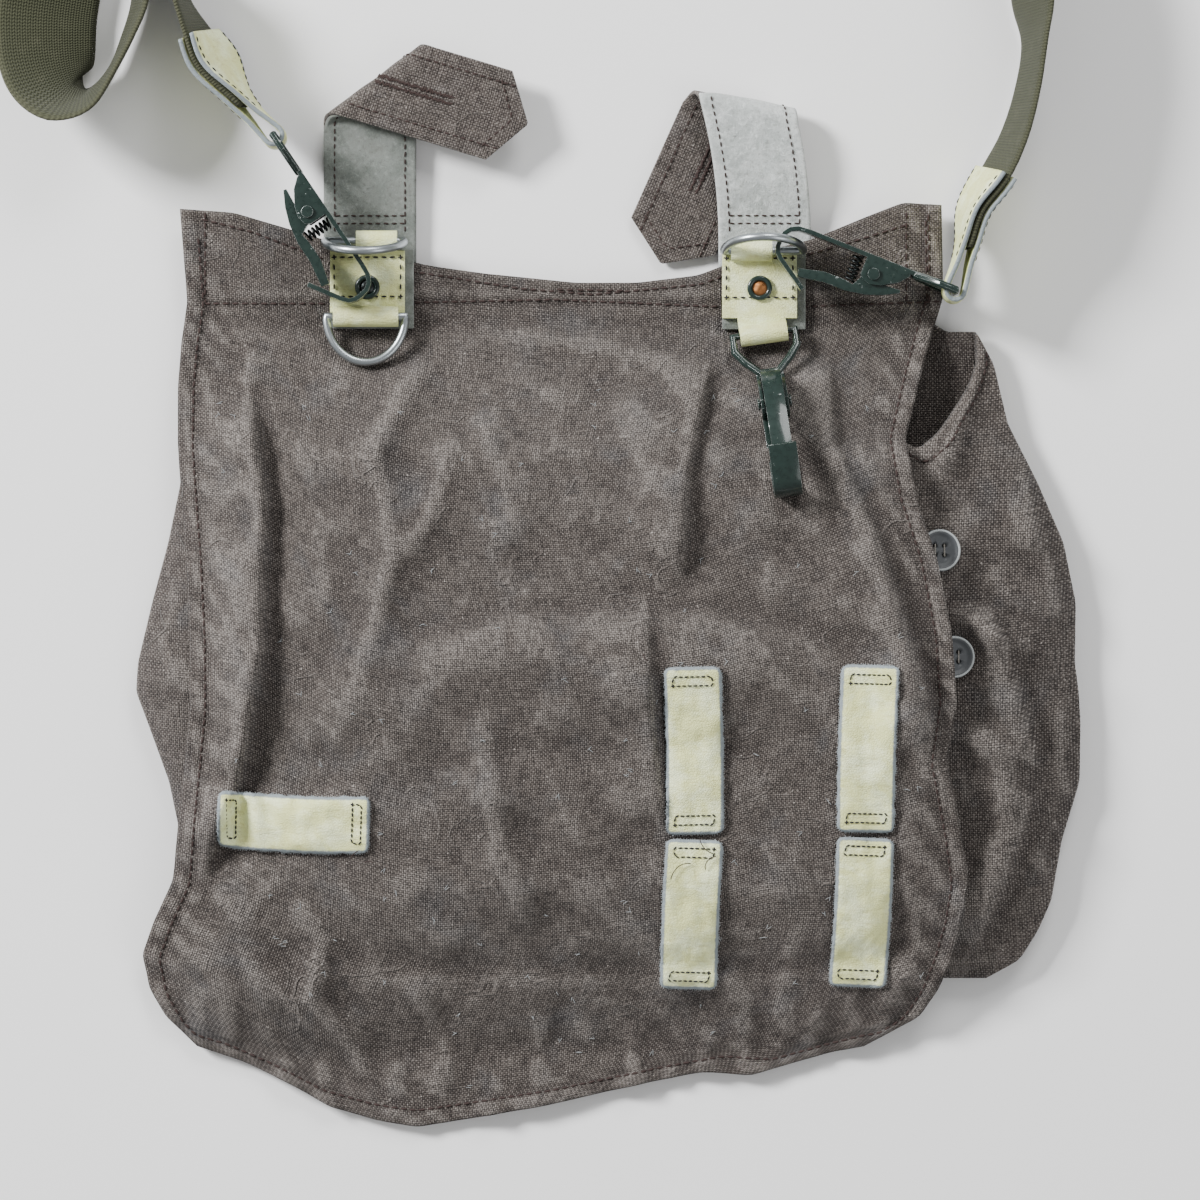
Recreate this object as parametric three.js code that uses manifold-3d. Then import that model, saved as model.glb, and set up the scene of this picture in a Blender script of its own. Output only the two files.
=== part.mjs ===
import * as THREE from 'three';
import { mergeVertices } from 'three/addons/utils/BufferGeometryUtils.js';
import Module from 'manifold-3d';

const wasm = await Module();
wasm.setup();

// A canvas haversack lying on its back. X to the right, Y towards the shoulder strap, Z up,
// origin on the underside of the back panel. All sizes in millimetres.

// Materials' thicknesses and the play between pieces.
const canvas = 1.6;
const suede = 1.2;
const leather = 2;
const webbing = 2.2;
const clearance = 0.3;
const clothPlay = 0.8;

// Pouch and flap.
const pouchWidth = 342;
const panelLength = 278;
const panelReach = 155.5;
const pouchCentre = 3;
const pouchThickness = 34;
const seamThickness = 6;
const flapWidth = 297;
const flapLength = 334;
const flapReach = 157.3;
const flapCentre = -16;
const drapeReach = 27;
const drapeRise = 12.7;
const hemLift = 5;

// Straps, loops and keeper strips.
const beltLoopWidth = 33.5;
const beltLoopLength = 145;
const beltLoopFoldRadius = 3.6;
const beltLoopTab = 1.1;
const beltLoopFace = 78;
const tabPoint = 11;
const keeperWidth = 20;
const keeperLong = 60;
const keeperShort = 54.5;
const keeperGap = 1;
const strapWidth = 38;
const strapEndLength = 46;
const strapPlay = 0.5;

// Chapes, rings, rivets and buttons.
const chapeWidth = 27;
const plateLength = 24;
const backingMargin = 1.6;
const ringWire = 3;
const ringInner = 25.5;
const ringDepth = 16.5;
const rivetWidth = 8.4;
const rivetHeight = 1.2;
const buttonWidth = 15.5;
const buttonHeight = 2.6;

// Snap hooks, measured from the bend along the hook and from its outer face inwards.
const hookWidth = 10;
const hookSheet = 1.6;
const hookDepth = 21.6;
const hookNeck = 52;
const hookBarAlong = 66;
const eyeWidth = 25.6;
const eyeWire = 3;
const earSheet = 1.1;
const pivotAlong = 36.6;
const pivotDepth = 6.5;
const pinRadius = 1.4;
const pinHead = 0.8;
const springRadius = 1.8;
const springWire = 0.7;
const springTurns = 5;
const springGive = 1.05;

// What follows from these: the eye's opening, what goes through it, and the rolls inside the rings.
const eyeInner = eyeWidth - 2 * eyeWire;
const strapEndWidth = eyeInner - 2 * clearance;
const hookTabWidth = eyeInner - 8 * clearance;
const tunnelWidth = 0.58 * ringInner;

const canvasMaterial = new THREE.MeshStandardMaterial({ color: 0x5d524f, roughness: 0.95, metalness: 0 });
const creamMaterial = new THREE.MeshStandardMaterial({ color: 0xb9b183, roughness: 0.7, metalness: 0 });
const suedeMaterial = new THREE.MeshStandardMaterial({ color: 0x8d8e89, roughness: 0.98, metalness: 0 });
const webbingMaterial = new THREE.MeshStandardMaterial({ color: 0x4d5040, roughness: 0.9, metalness: 0 });
const steelMaterial = new THREE.MeshStandardMaterial({ color: 0xb9c0c4, roughness: 0.3, metalness: 1 });
const greenMaterial = new THREE.MeshStandardMaterial({ color: 0x16231f, roughness: 0.4, metalness: 0.3 });
const buttonMaterial = new THREE.MeshStandardMaterial({ color: 0x3c4146, roughness: 0.5, metalness: 0 });

// A value between the rows of a table, on the straight line from row to row.
function lookUp(rows, key, column, value) {
  let next = rows.findIndex((row) => row[key] > value);
  if (next < 0) {
    next = rows.length - 1;
  }
  next = Math.max(next, 1);
  const low = rows[next - 1];
  const high = rows[next];
  const share = THREE.MathUtils.clamp((value - low[key]) / (high[key] - low[key]), 0, 1);
  return low[column] + (high[column] - low[column]) * share;
}

function mix(from, to, share) {
  return from + (to - from) * share;
}

function ease(from, to, value) {
  return THREE.MathUtils.smoothstep(value, from, to);
}

// A closed body from its corners and triangles, turned so that the faces point out.
function body(corners, triangles) {
  let volume = 0;
  for (const [a, b, c] of triangles) {
    volume += corners[a].dot(corners[b].clone().cross(corners[c]));
  }
  const geometry = new THREE.BufferGeometry();
  const places = corners.flatMap((corner) => [corner.x, corner.y, corner.z]);
  geometry.setAttribute('position', new THREE.Float32BufferAttribute(places, 3));
  geometry.setIndex(triangles.flatMap(([a, b, c]) => (volume > 0 ? [a, b, c] : [a, c, b])));
  return geometry;
}

// A sheet: an upper and a lower grid of points, closed round the edge.
function sheet(upper, lower) {
  const rows = upper.length;
  const columns = upper[0].length;
  const corners = [...upper.flat(), ...lower.flat()];
  const at = (side, row, column) => side * rows * columns + row * columns + column;
  const triangles = [];
  const quad = (a, b, c, d) => triangles.push([a, b, c], [a, c, d]);
  for (let row = 0; row < rows - 1; row += 1) {
    for (let column = 0; column < columns - 1; column += 1) {
      quad(at(0, row, column), at(0, row + 1, column), at(0, row + 1, column + 1), at(0, row, column + 1));
      quad(at(1, row, column), at(1, row, column + 1), at(1, row + 1, column + 1), at(1, row + 1, column));
    }
  }
  const rim = [];
  for (let column = 0; column < columns - 1; column += 1) {
    rim.push([0, column]);
  }
  for (let row = 0; row < rows - 1; row += 1) {
    rim.push([row, columns - 1]);
  }
  for (let column = columns - 1; column > 0; column -= 1) {
    rim.push([rows - 1, column]);
  }
  for (let row = rows - 1; row > 0; row -= 1) {
    rim.push([row, 0]);
  }
  rim.forEach((here, index) => {
    const there = rim[(index + 1) % rim.length];
    quad(at(0, ...here), at(0, ...there), at(1, ...there), at(1, ...here));
  });
  return body(corners, triangles);
}

// A solid through rings of equal point count; a closed one joins its last ring to its first.
function loft(rings, closed = false) {
  const count = rings[0].length;
  const corners = rings.flat();
  const triangles = [];
  const last = closed ? rings.length : rings.length - 1;
  for (let ring = 0; ring < last; ring += 1) {
    const next = (ring + 1) % rings.length;
    for (let point = 0; point < count; point += 1) {
      const after = (point + 1) % count;
      const [a, b] = [ring * count + point, ring * count + after];
      const [c, d] = [next * count + after, next * count + point];
      triangles.push([a, b, c], [a, c, d]);
    }
  }
  if (!closed) {
    for (let point = 1; point < count - 1; point += 1) {
      const end = (rings.length - 1) * count;
      triangles.push([0, point + 1, point], [end, end + point, end + point + 1]);
    }
  }
  return body(corners, triangles);
}

// A round wire bent along a flat closed path in the XY plane.
function wireLoop(path, radius, sides) {
  const rings = path.map((here, index) => {
    const before = path[(index + path.length - 1) % path.length];
    const after = path[(index + 1) % path.length];
    const along = after.clone().sub(before).normalize();
    const across = new THREE.Vector2(along.y, -along.x);
    return Array.from({ length: sides }, (_, side) => {
      const angle = (2 * Math.PI * (side + 0.5)) / sides;
      const place = here.clone().addScaledVector(across, radius * Math.cos(angle));
      return new THREE.Vector3(place.x, place.y, radius * Math.sin(angle));
    });
  });
  return loft(rings, true);
}

function extrude(outline, depth, holes = []) {
  const shape = new THREE.Shape(outline);
  shape.holes = holes;
  const geometry = new THREE.ExtrudeGeometry(shape, { depth, bevelEnabled: false, curveSegments: 7 });
  geometry.translate(0, 0, -depth / 2);
  return geometry;
}

function toSolid(geometry) {
  const bare = geometry.clone();
  bare.deleteAttribute('normal');
  bare.deleteAttribute('uv');
  const merged = mergeVertices(bare, 0.0001);
  return new wasm.Manifold(new wasm.Mesh({
    numProp: 3,
    vertProperties: new Float32Array(merged.attributes.position.array),
    triVerts: new Uint32Array(merged.index.array),
  }));
}

function toGeometry(solid) {
  const mesh = solid.getMesh();
  const geometry = new THREE.BufferGeometry();
  geometry.setAttribute('position', new THREE.BufferAttribute(new Float32Array(mesh.vertProperties), 3));
  geometry.setIndex(new THREE.BufferAttribute(new Uint32Array(mesh.triVerts), 1));
  return geometry;
}

function join(...geometries) {
  return toGeometry(geometries.map(toSolid).reduce((whole, part) => whole.add(part)));
}

function cut(geometry, ...tools) {
  return toGeometry(tools.map(toSolid).reduce((whole, tool) => whole.subtract(tool), toSolid(geometry)));
}

const haversack = new THREE.Group();

function add(name, geometry, material, parent = haversack) {
  const mesh = new THREE.Mesh(geometry, material);
  mesh.name = name;
  parent.add(mesh);
  return mesh;
}

// Pouch outline, in shares of the panel's length downwards and of the pouch's width sideways.
const pouchOutline = [
  { down: 0, left: -0.448, right: 0.349 },
  { down: 0.123, left: -0.443, right: 0.352 },
  { down: 0.151, left: -0.446, right: 0.386 },
  { down: 0.2, left: -0.45, right: 0.408 },
  { down: 0.278, left: -0.45, right: 0.423 },
  { down: 0.356, left: -0.453, right: 0.455 },
  { down: 0.433, left: -0.466, right: 0.482 },
  { down: 0.511, left: -0.483, right: 0.495 },
  { down: 0.589, left: -0.498, right: 0.494 },
  { down: 0.627, left: -0.5, right: 0.498 },
  { down: 0.666, left: -0.488, right: 0.5 },
  { down: 0.744, left: -0.465, right: 0.499 },
  { down: 0.821, left: -0.452, right: 0.48 },
  { down: 0.899, left: -0.454, right: 0.469 },
  { down: 0.938, left: -0.45, right: 0.455 },
  { down: 0.977, left: -0.435, right: 0.435 },
  { down: 1, left: -0.41, right: 0.4 },
];

// How full the pouch is down its length, in shares of its thickness.
const pouchFill = [
  { down: 0.15, height: 0.14 },
  { down: 0.19, height: 0.24 },
  { down: 0.256, height: 0.54 },
  { down: 0.317, height: 0.78 },
  { down: 0.407, height: 0.93 },
  { down: 0.537, height: 1 },
  { down: 0.77, height: 0.97 },
  { down: 0.873, height: 0.85 },
  { down: 0.938, height: 0.66 },
  { down: 0.977, height: 0.44 },
  { down: 1, height: 0.18 },
];

// Where the front panel's hem ends, across the pouch.
const frontHem = [
  { side: -1, down: 0.175 },
  { side: 0.3, down: 0.185 },
  { side: 0.62, down: 0.21 },
  { side: 0.74, down: 0.31 },
  { side: 0.84, down: 0.3 },
  { side: 0.94, down: 0.22 },
  { side: 1, down: 0.165 },
];

const pouchBottom = panelReach - panelLength;
const headerLift = beltLoopTab + suede + 3 * clearance;
const headerEnd = 0.21;

function pouchEdge(column, down) {
  return pouchCentre + pouchWidth * lookUp(pouchOutline, 'down', column, down);
}

// Where a point lies across the pouch, from -1 at its left side to 1 at its right.
function sideShare(x, down) {
  const left = pouchEdge('left', down);
  const right = pouchEdge('right', down);
  return (2 * x - left - right) / (right - left);
}

function fullness(side) {
  return (1 - Math.min(Math.abs(side), 1) ** 3) ** 0.8;
}

function frontHeight(side, down) {
  const crown = pouchThickness * lookUp(pouchFill, 'down', 'height', down);
  const seam = Math.min(seamThickness, crown);
  return seam + (crown - seam) * fullness(side);
}

function panelHeight(down) {
  return headerLift * (1 - ease(headerEnd - 0.05, headerEnd, down));
}

// Header edge, sagging between its two raised corners, in shares across and of the flap's length.
const flapEnds = [
  { across: 0, top: 0.004, bottom: 0.912 },
  { across: 0.07, top: 0.008, bottom: 0.929 },
  { across: 0.14, top: 0.025, bottom: 0.953 },
  { across: 0.2, top: 0.04, bottom: 0.978 },
  { across: 0.27, top: 0.055, bottom: 0.993 },
  { across: 0.33, top: 0.066, bottom: 1 },
  { across: 0.4, top: 0.074, bottom: 0.992 },
  { across: 0.52, top: 0.084, bottom: 0.977 },
  { across: 0.6, top: 0.084, bottom: 0.964 },
  { across: 0.68, top: 0.076, bottom: 0.951 },
  { across: 0.76, top: 0.051, bottom: 0.94 },
  { across: 0.83, top: 0.037, bottom: 0.944 },
  { across: 0.9, top: 0.013, bottom: 0.929 },
  { across: 0.95, top: -0.003, bottom: 0.919 },
  { across: 1, top: 0, bottom: 0.912 },
];

const flapSides = [
  { down: 0, left: -0.458, right: 0.47 },
  { down: 0.11, left: -0.449, right: 0.472 },
  { down: 0.16, left: -0.456, right: 0.456 },
  { down: 0.21, left: -0.46, right: 0.442 },
  { down: 0.28, left: -0.46, right: 0.424 },
  { down: 0.35, left: -0.455, right: 0.436 },
  { down: 0.42, left: -0.449, right: 0.46 },
  { down: 0.51, left: -0.444, right: 0.478 },
  { down: 0.59, left: -0.443, right: 0.484 },
  { down: 0.66, left: -0.45, right: 0.473 },
  { down: 0.74, left: -0.458, right: 0.49 },
  { down: 0.8, left: -0.465, right: 0.5 },
  { down: 0.85, left: -0.489, right: 0.493 },
  { down: 0.89, left: -0.504, right: 0.482 },
  { down: 0.93, left: -0.496, right: 0.466 },
  { down: 0.965, left: -0.475, right: 0.442 },
  { down: 1, left: -0.438, right: 0.376 },
];

function flapPlace(across, down) {
  const left = lookUp(flapSides, 'down', 'left', down);
  const right = lookUp(flapSides, 'down', 'right', down);
  const top = lookUp(flapEnds, 'across', 'top', across);
  const bottom = lookUp(flapEnds, 'across', 'bottom', across);
  return new THREE.Vector2(
    flapCentre + flapWidth * mix(left, right, across),
    flapReach - flapLength * mix(top, bottom, down),
  );
}

// A place on the flap from shares of its width and length, counted from its centre line and reach.
function onFlap(side, down) {
  return new THREE.Vector2(flapCentre + flapWidth * side, flapReach - flapLength * down);
}

// Folds of the flap, with lines of side and down. A ridge stands up along its line, a step only on
// the left side of it.
const flapFolds = [
  {
    line: [[-0.425, 0.2], [-0.4, 0.35], [-0.398, 0.48], [-0.416, 0.62], [-0.45, 0.75]],
    width: 0.034,
    rise: 0.28,
  },
  {
    line: [[-0.14, 0.16], [-0.215, 0.27], [-0.2, 0.38], [-0.225, 0.48], [-0.27, 0.61]],
    width: 0.035,
    rise: 0.05,
  },
  {
    line: [[-0.08, 0.52], [-0.067, 0.7], [-0.03, 0.78]],
    width: 0.035,
    rise: 0.05,
  },
  {
    line: [[0.193, 0.17], [0.163, 0.29], [0.156, 0.42]],
    width: 0.05,
    rise: 0.1,
    step: true,
  },
  {
    line: [[0.115, 0.43], [0.12, 0.56], [0.133, 0.675]],
    width: 0.05,
    rise: 0.09,
    step: true,
  },
  {
    line: [[0.338, 0.14], [0.338, 0.26], [0.384, 0.35], [0.414, 0.43], [0.448, 0.51]],
    width: 0.05,
    rise: 0.12,
    step: true,
  },
];

function foldHeight(place) {
  let height = 0;
  for (const { line, width, rise, step } of flapFolds) {
    const bends = line.map(([side, down]) => onFlap(side, down));
    let nearest = Infinity;
    let signed = 0;
    let share = 0;
    for (let index = 0; index < bends.length - 1; index += 1) {
      const run = bends[index + 1].clone().sub(bends[index]);
      const from = place.clone().sub(bends[index]);
      const at = THREE.MathUtils.clamp(from.dot(run) / run.lengthSq(), 0, 1);
      const off = from.clone().addScaledVector(run, -at);
      if (off.length() < nearest) {
        nearest = off.length();
        signed = Math.sign(run.cross(off)) * nearest;
        share = (index + at) / (bends.length - 1);
      }
    }
    const reach = width * flapWidth;
    const fade = ease(0, 0.25, share) * ease(0, 0.25, 1 - share);
    const bump = Math.exp(-((nearest / reach) ** 2));
    const left = step ? 0.5 - 0.5 * Math.tanh((3 * signed) / reach) : 1;
    height += rise * pouchThickness * fade * bump * left;
  }
  return height;
}

const edgePlay = 6;

// Height of the flap's underside: on the back panel at the header, over the full pouch,
// then down to the ground past the pouch's bottom seam.
function flapUnderside(place, across) {
  const down = (panelReach - place.y) / panelLength;
  const side = sideShare(place.x, Math.min(down, 1));
  const left = pouchEdge('left', Math.min(down, 1));
  const right = pouchEdge('right', Math.min(down, 1));
  const past = Math.max(left - place.x, place.x - right);
  const below = pouchBottom - place.y;
  const outside = past > 0 && below > 0 ? Math.hypot(past, below) : Math.max(past, below);
  const slope = drapeRise / drapeReach;
  const drape = outside > 0 ? slope * (drapeReach - outside) : drapeRise - 0.25 * outside;
  const bridge = Math.max(drape, 0) * ease(0.35, 0.6, down) + clearance;
  const header = panelHeight(down) + canvas + clearance;
  const inside = down < 1 && past < edgePlay && down > 0.15;
  const beside = (shift) => frontHeight(sideShare(place.x + shift, down), down);
  const cloth = inside ? Math.max(beside(-3), frontHeight(side, down), beside(3)) + clothPlay : 0;
  const hem = hemLift * ease(0.88, 0.94, across) * ease(0.28, 0.34, down) * ease(0, 0.2, 0.95 - down);
  const panel = down < 1 && past < edgePlay ? header : 0;
  return Math.max(cloth, bridge, panel) + (foldHeight(place) + hem) * ease(0.14, 0.24, down);
}

const flapColumns = 24;
const flapRows = 27;

// A grid of points, row by row.
function grid(rows, columns, pointAt) {
  return Array.from({ length: rows }, (_, row) => (
    Array.from({ length: columns }, (__, column) => pointAt(row / (rows - 1), column / (columns - 1)))
  ));
}

function flapGrid(rise) {
  return grid(flapRows, flapColumns, (down, across) => {
    const place = flapPlace(across, down);
    return new THREE.Vector3(place.x, place.y, flapUnderside(place, across) + rise);
  });
}

const flapTop = flapGrid(canvas);
add('flap', sheet(flapTop, flapGrid(0)), canvasMaterial);

// Height of the flap's top face at a place, on its flat facets.
function flapHeight(x, y) {
  const spot = new THREE.Vector3(x, y, 0);
  for (let row = 0; row < flapRows - 1; row += 1) {
    for (let column = 0; column < flapColumns - 1; column += 1) {
      const [a, d] = flapTop[row].slice(column, column + 2);
      const [b, c] = flapTop[row + 1].slice(column, column + 2);
      for (const corners of [[a, b, c], [a, c, d]]) {
        const flat = corners.map((corner) => new THREE.Vector3(corner.x, corner.y, 0));
        const weights = THREE.Triangle.getBarycoord(spot, ...flat, new THREE.Vector3());
        if (weights && Math.min(weights.x, weights.y, weights.z) > -1e-6) {
          return weights.x * corners[0].z + weights.y * corners[1].z + weights.z * corners[2].z;
        }
      }
    }
  }
  return 0;
}

// The highest point of the flap under a rectangle.
function highestUnder(centre, width, length) {
  let top = 0;
  for (let i = -4; i <= 4; i += 1) {
    for (let j = -4; j <= 4; j += 1) {
      top = Math.max(top, flapHeight(centre.x + (width * i) / 8, centre.y + (length * j) / 8));
    }
  }
  return top;
}

// The pouch: outer and inner skins from the bottom seam up to a rim that is the header edge
// behind, the side's top beside and the front panel's hem in front.
const ringHalf = 15;
const commonRows = 11;
const rimRows = 6;
const commonDown = 0.33;

function pouchSkin(inset) {
  const rows = [];
  for (let row = 0; row < commonRows + rimRows; row += 1) {
    const ring = [];
    for (let point = 0; point < 2 * ringHalf; point += 1) {
      const front = point >= ringHalf;
      const step = (point % ringHalf) / (ringHalf - 1);
      const angle = Math.PI * (front ? step : 1 - step);
      const side = Math.cos(angle);
      const hem = lookUp(frontHem, 'side', 'down', side);
      const edge = Math.abs(side) > 0.99 ? hem - 0.01 : headerDown(side);
      const rim = front ? hem : edge;
      const common = mix(1 - inset / panelLength, commonDown, Math.min(row / (commonRows - 1), 1));
      const down = row < commonRows ? common : mix(commonDown, rim, (row - commonRows + 1) / rimRows);
      const left = pouchEdge('left', down) + inset;
      const right = pouchEdge('right', down) - inset;
      const x = mix(left, right, (side + 1) / 2);
      const back = panelHeight(down);
      const top = Math.max(frontHeight(side, down), back + 2 * canvas + clearance);
      ring.push(new THREE.Vector3(x, panelReach - panelLength * down, front ? top - inset : back + inset));
    }
    rows.push(ring);
  }
  return rows;
}

// The back panel's top edge keeps just inside the flap's.
function headerDown(side) {
  const across = (side + 1) / 2;
  const edge = flapReach - flapLength * lookUp(flapEnds, 'across', 'top', across);
  return (panelReach - edge) / panelLength + 0.006;
}

function pouch() {
  const outer = pouchSkin(0);
  const inner = pouchSkin(canvas);
  const count = 2 * ringHalf;
  const rows = outer.length;
  const corners = [...outer.flat(), ...inner.flat()];
  const at = (skin, row, point) => (skin * rows + row) * count + (point % count);
  const triangles = [];
  const quad = (a, b, c, d) => triangles.push([a, b, c], [a, c, d]);
  for (let point = 0; point < count; point += 1) {
    for (let row = 0; row < rows - 1; row += 1) {
      quad(at(0, row, point), at(0, row, point + 1), at(0, row + 1, point + 1), at(0, row + 1, point));
      quad(at(1, row, point), at(1, row + 1, point), at(1, row + 1, point + 1), at(1, row, point + 1));
    }
    const [rim, next] = [at(0, rows - 1, point), at(0, rows - 1, point + 1)];
    quad(rim, next, at(1, rows - 1, point + 1), at(1, rows - 1, point));
  }
  for (let point = 0; point < ringHalf - 1; point += 1) {
    const mirror = count - 1 - point;
    quad(at(0, 0, point), at(0, 0, mirror), at(0, 0, mirror - 1), at(0, 0, point + 1));
    quad(at(1, 0, point), at(1, 0, point + 1), at(1, 0, mirror - 1), at(1, 0, mirror));
  }
  return body(corners, triangles);
}

add('pouch', pouch(), canvasMaterial);

// Buttons on the front panel, half under the flap's right hem.
const buttonPlaces = {
  upper: { side: 0.463, down: 0.375 },
  lower: { side: 0.48, down: 0.489 },
};

const buttonLift = 0.5;

// Profiles from the axis outwards and back, in shares of the radius and height.
const buttonProfile = [[0, 0], [0.7, 0], [1, 0.31], [1, 0.69], [0.85, 1], [0.7, 0.65], [0, 0.65]];
const rivetProfile = [[0, 0], [1, 0], [1, 0.42], [0.67, 1], [0, 1]];

function turned(profile, radius, height, sides) {
  const places = profile.map(([out, up]) => new THREE.Vector2(out * radius, up * height));
  return new THREE.LatheGeometry(places, sides).rotateX(Math.PI / 2);
}

function pouchFront(x, y) {
  const down = (panelReach - y) / panelLength;
  return frontHeight(sideShare(x, down), down);
}

for (const [name, { side, down }] of Object.entries(buttonPlaces)) {
  const spot = onFlap(side, down);
  const reach = buttonWidth / 2;
  const slopeX = (pouchFront(spot.x + reach, spot.y) - pouchFront(spot.x - reach, spot.y)) / buttonWidth;
  const slopeY = (pouchFront(spot.x, spot.y + reach) - pouchFront(spot.x, spot.y - reach)) / buttonWidth;
  const normal = new THREE.Vector3(-slopeX, -slopeY, 1).normalize();
  const button = add(`button_${name}`, turned(buttonProfile, reach, buttonHeight, 14), buttonMaterial);
  button.quaternion.setFromUnitVectors(new THREE.Vector3(0, 0, 1), normal);
  button.position.set(spot.x, spot.y, pouchFront(spot.x, spot.y)).addScaledVector(normal, buttonLift);
}

// Keeper strips sewn on the flap, each from a place near its end, with its heading in degrees.
// The upper and the lower strip of a pair start at the same place.
const keepers = {
  keeper_upper_inner: { side: 0.168, down: 0.682, heading: 91, length: keeperLong },
  keeper_lower_inner: { side: 0.168, down: 0.682, heading: -92, length: keeperShort },
  keeper_upper_outer: { side: 0.374, down: 0.68, heading: 88.5, length: keeperLong },
  keeper_lower_outer: { side: 0.374, down: 0.68, heading: -92.5, length: keeperShort },
  keeper_cross: { side: -0.411, down: 0.663, heading: -2, length: keeperShort },
};

function keeper({ side, down, heading, length }) {
  const start = onFlap(side, down);
  const along = new THREE.Vector2(1, 0).rotateAround(new THREE.Vector2(), THREE.MathUtils.degToRad(heading));
  const layer = (rise) => grid(11, 4, (far, over) => {
    const place = start.clone().addScaledVector(along, keeperGap + length * far);
    place.x += along.y * keeperWidth * (over - 0.5);
    place.y -= along.x * keeperWidth * (over - 0.5);
    return new THREE.Vector3(place.x, place.y, flapHeight(place.x, place.y) + clothPlay + rise);
  });
  return sheet(layer(leather), layer(0));
}

for (const [name, row] of Object.entries(keepers)) {
  add(name, keeper(row), creamMaterial);
}

// Heights of the stack at the header: suede backing, chape, then the rings' bars.
const chapePlaces = {
  left: onFlap(-0.229, 0.086),
  right: onFlap(0.248, 0.087),
};
const backingWidth = chapeWidth + 2 * backingMargin;
const backingLength = plateLength + 3 * backingMargin;

function backingPlace(place) {
  return new THREE.Vector2(place.x + backingMargin, place.y - backingMargin);
}

const stackBase = Math.max(
  highestUnder(backingPlace(chapePlaces.left), backingWidth, backingLength),
  highestUnder(backingPlace(chapePlaces.right), backingWidth, backingLength),
) + clearance;
const chapeBase = stackBase + suede + clearance;
const tunnelInner = ringWire / 2 + clearance;
const tunnelOuter = tunnelInner + leather;
const barHeight = chapeBase + tunnelOuter;
const hookHeight = barHeight + ringWire / 2 + clearance + hookWidth / 2;

// A strip of leather whose end is rolled round a bar, seen from its side and extruded across.
function tunnel(width, flatLength) {
  const points = [new THREE.Vector2(flatLength, 0), new THREE.Vector2(flatLength, leather)];
  const start = Math.asin((leather - tunnelOuter) / tunnelOuter);
  const steps = 14;
  for (let step = 0; step <= steps; step += 1) {
    const angle = mix(start, 1.5 * Math.PI, step / steps);
    points.push(new THREE.Vector2(Math.cos(angle) * tunnelOuter, (1 + Math.sin(angle)) * tunnelOuter));
  }
  const hole = new THREE.Path();
  hole.absarc(0, tunnelOuter, tunnelInner, 0, 2 * Math.PI);
  const geometry = extrude(points, width, [hole]);
  geometry.rotateX(Math.PI / 2);
  return geometry;
}

// Turns a tunnel so that its roll points along +Y (up) or -Y (down).
function upTunnel(width, flatLength) {
  return tunnel(width, flatLength).rotateZ(-Math.PI / 2);
}

function downTunnel(width, flatLength) {
  return tunnel(width, flatLength).rotateZ(Math.PI / 2);
}

function plate(width, length, thickness) {
  return new THREE.BoxGeometry(width, length, thickness).translate(0, 0, thickness / 2);
}

// Bars of the rings and of the spare hook's eye from the middle of their chape, in shares of the
// chape's width and of its plate's length, with the lean of the rings that stand up, in degrees.
const barPlaces = {
  left: { across: -0.037, along: 0.642, lean: 15 },
  right: { across: 0.052, along: 0.508, lean: -15 },
  lower: { across: -0.019, along: -0.492 },
  spare: { across: 0.052, along: -0.733 },
};
const spareTurn = THREE.MathUtils.degToRad(8);
const rollPlay = 1;

function barPlace(chape, { across, along }) {
  return new THREE.Vector2(chape.x + across * chapeWidth, chape.y + along * plateLength);
}

const leftBarPlace = barPlace(chapePlaces.left, barPlaces.left);
const rightBarPlace = barPlace(chapePlaces.right, barPlaces.right);
const lowerBarPlace = barPlace(chapePlaces.left, barPlaces.lower);
const spareBarPlace = barPlace(chapePlaces.right, barPlaces.spare);
const rollOffset = ringInner / 2 - tunnelWidth / 2 - rollPlay;

// A plate with a narrow roll above, beside the hook in its ring, and a wider roll below.
function chape(place, upperBar, side, lower) {
  const upper = upTunnel(tunnelWidth, plateLength / 2);
  upper.translate(upperBar.x + side * rollOffset, upperBar.y, 0);
  const middle = plate(chapeWidth, plateLength, leather).translate(place.x, place.y, 0);
  return join(upper, lower, middle).translate(0, 0, chapeBase);
}

const ringRoll = downTunnel(ringInner - 2 * rollPlay, plateLength / 2)
  .translate(lowerBarPlace.x, lowerBarPlace.y, 0);
const hookRoll = downTunnel(hookTabWidth, plateLength / 2)
  .rotateZ(spareTurn)
  .translate(spareBarPlace.x, spareBarPlace.y, 0);

add('chape_left', chape(chapePlaces.left, leftBarPlace, 1, ringRoll), creamMaterial);
add('chape_right', chape(chapePlaces.right, rightBarPlace, -1, hookRoll), creamMaterial);

const rivetDrop = 1.2;
for (const [name, place] of Object.entries(chapePlaces)) {
  const middle = backingPlace(place);
  const backing = plate(backingWidth, backingLength, suede).translate(middle.x, middle.y, stackBase);
  add(`backing_${name}`, backing, suedeMaterial);
  const rivet = turned(rivetProfile, rivetWidth / 2, rivetHeight, 12);
  rivet.translate(place.x, place.y - rivetDrop, chapeBase + leather + clearance / 3);
  add(`rivet_${name}`, rivet, greenMaterial);
}

// A ring with its bar on the local X axis and its bow towards +Y.
function dRing() {
  const half = (ringInner + ringWire) / 2;
  const bowSteps = 12;
  const path = Array.from({ length: bowSteps + 1 }, (_, step) => {
    const angle = (Math.PI * step) / bowSteps;
    return new THREE.Vector2(half * Math.cos(angle), ringDepth * Math.sin(angle));
  });
  path.push(new THREE.Vector2(-half * 0.6, 0), new THREE.Vector2(half * 0.6, 0));
  return wireLoop(path, ringWire / 2, 8);
}

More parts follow.
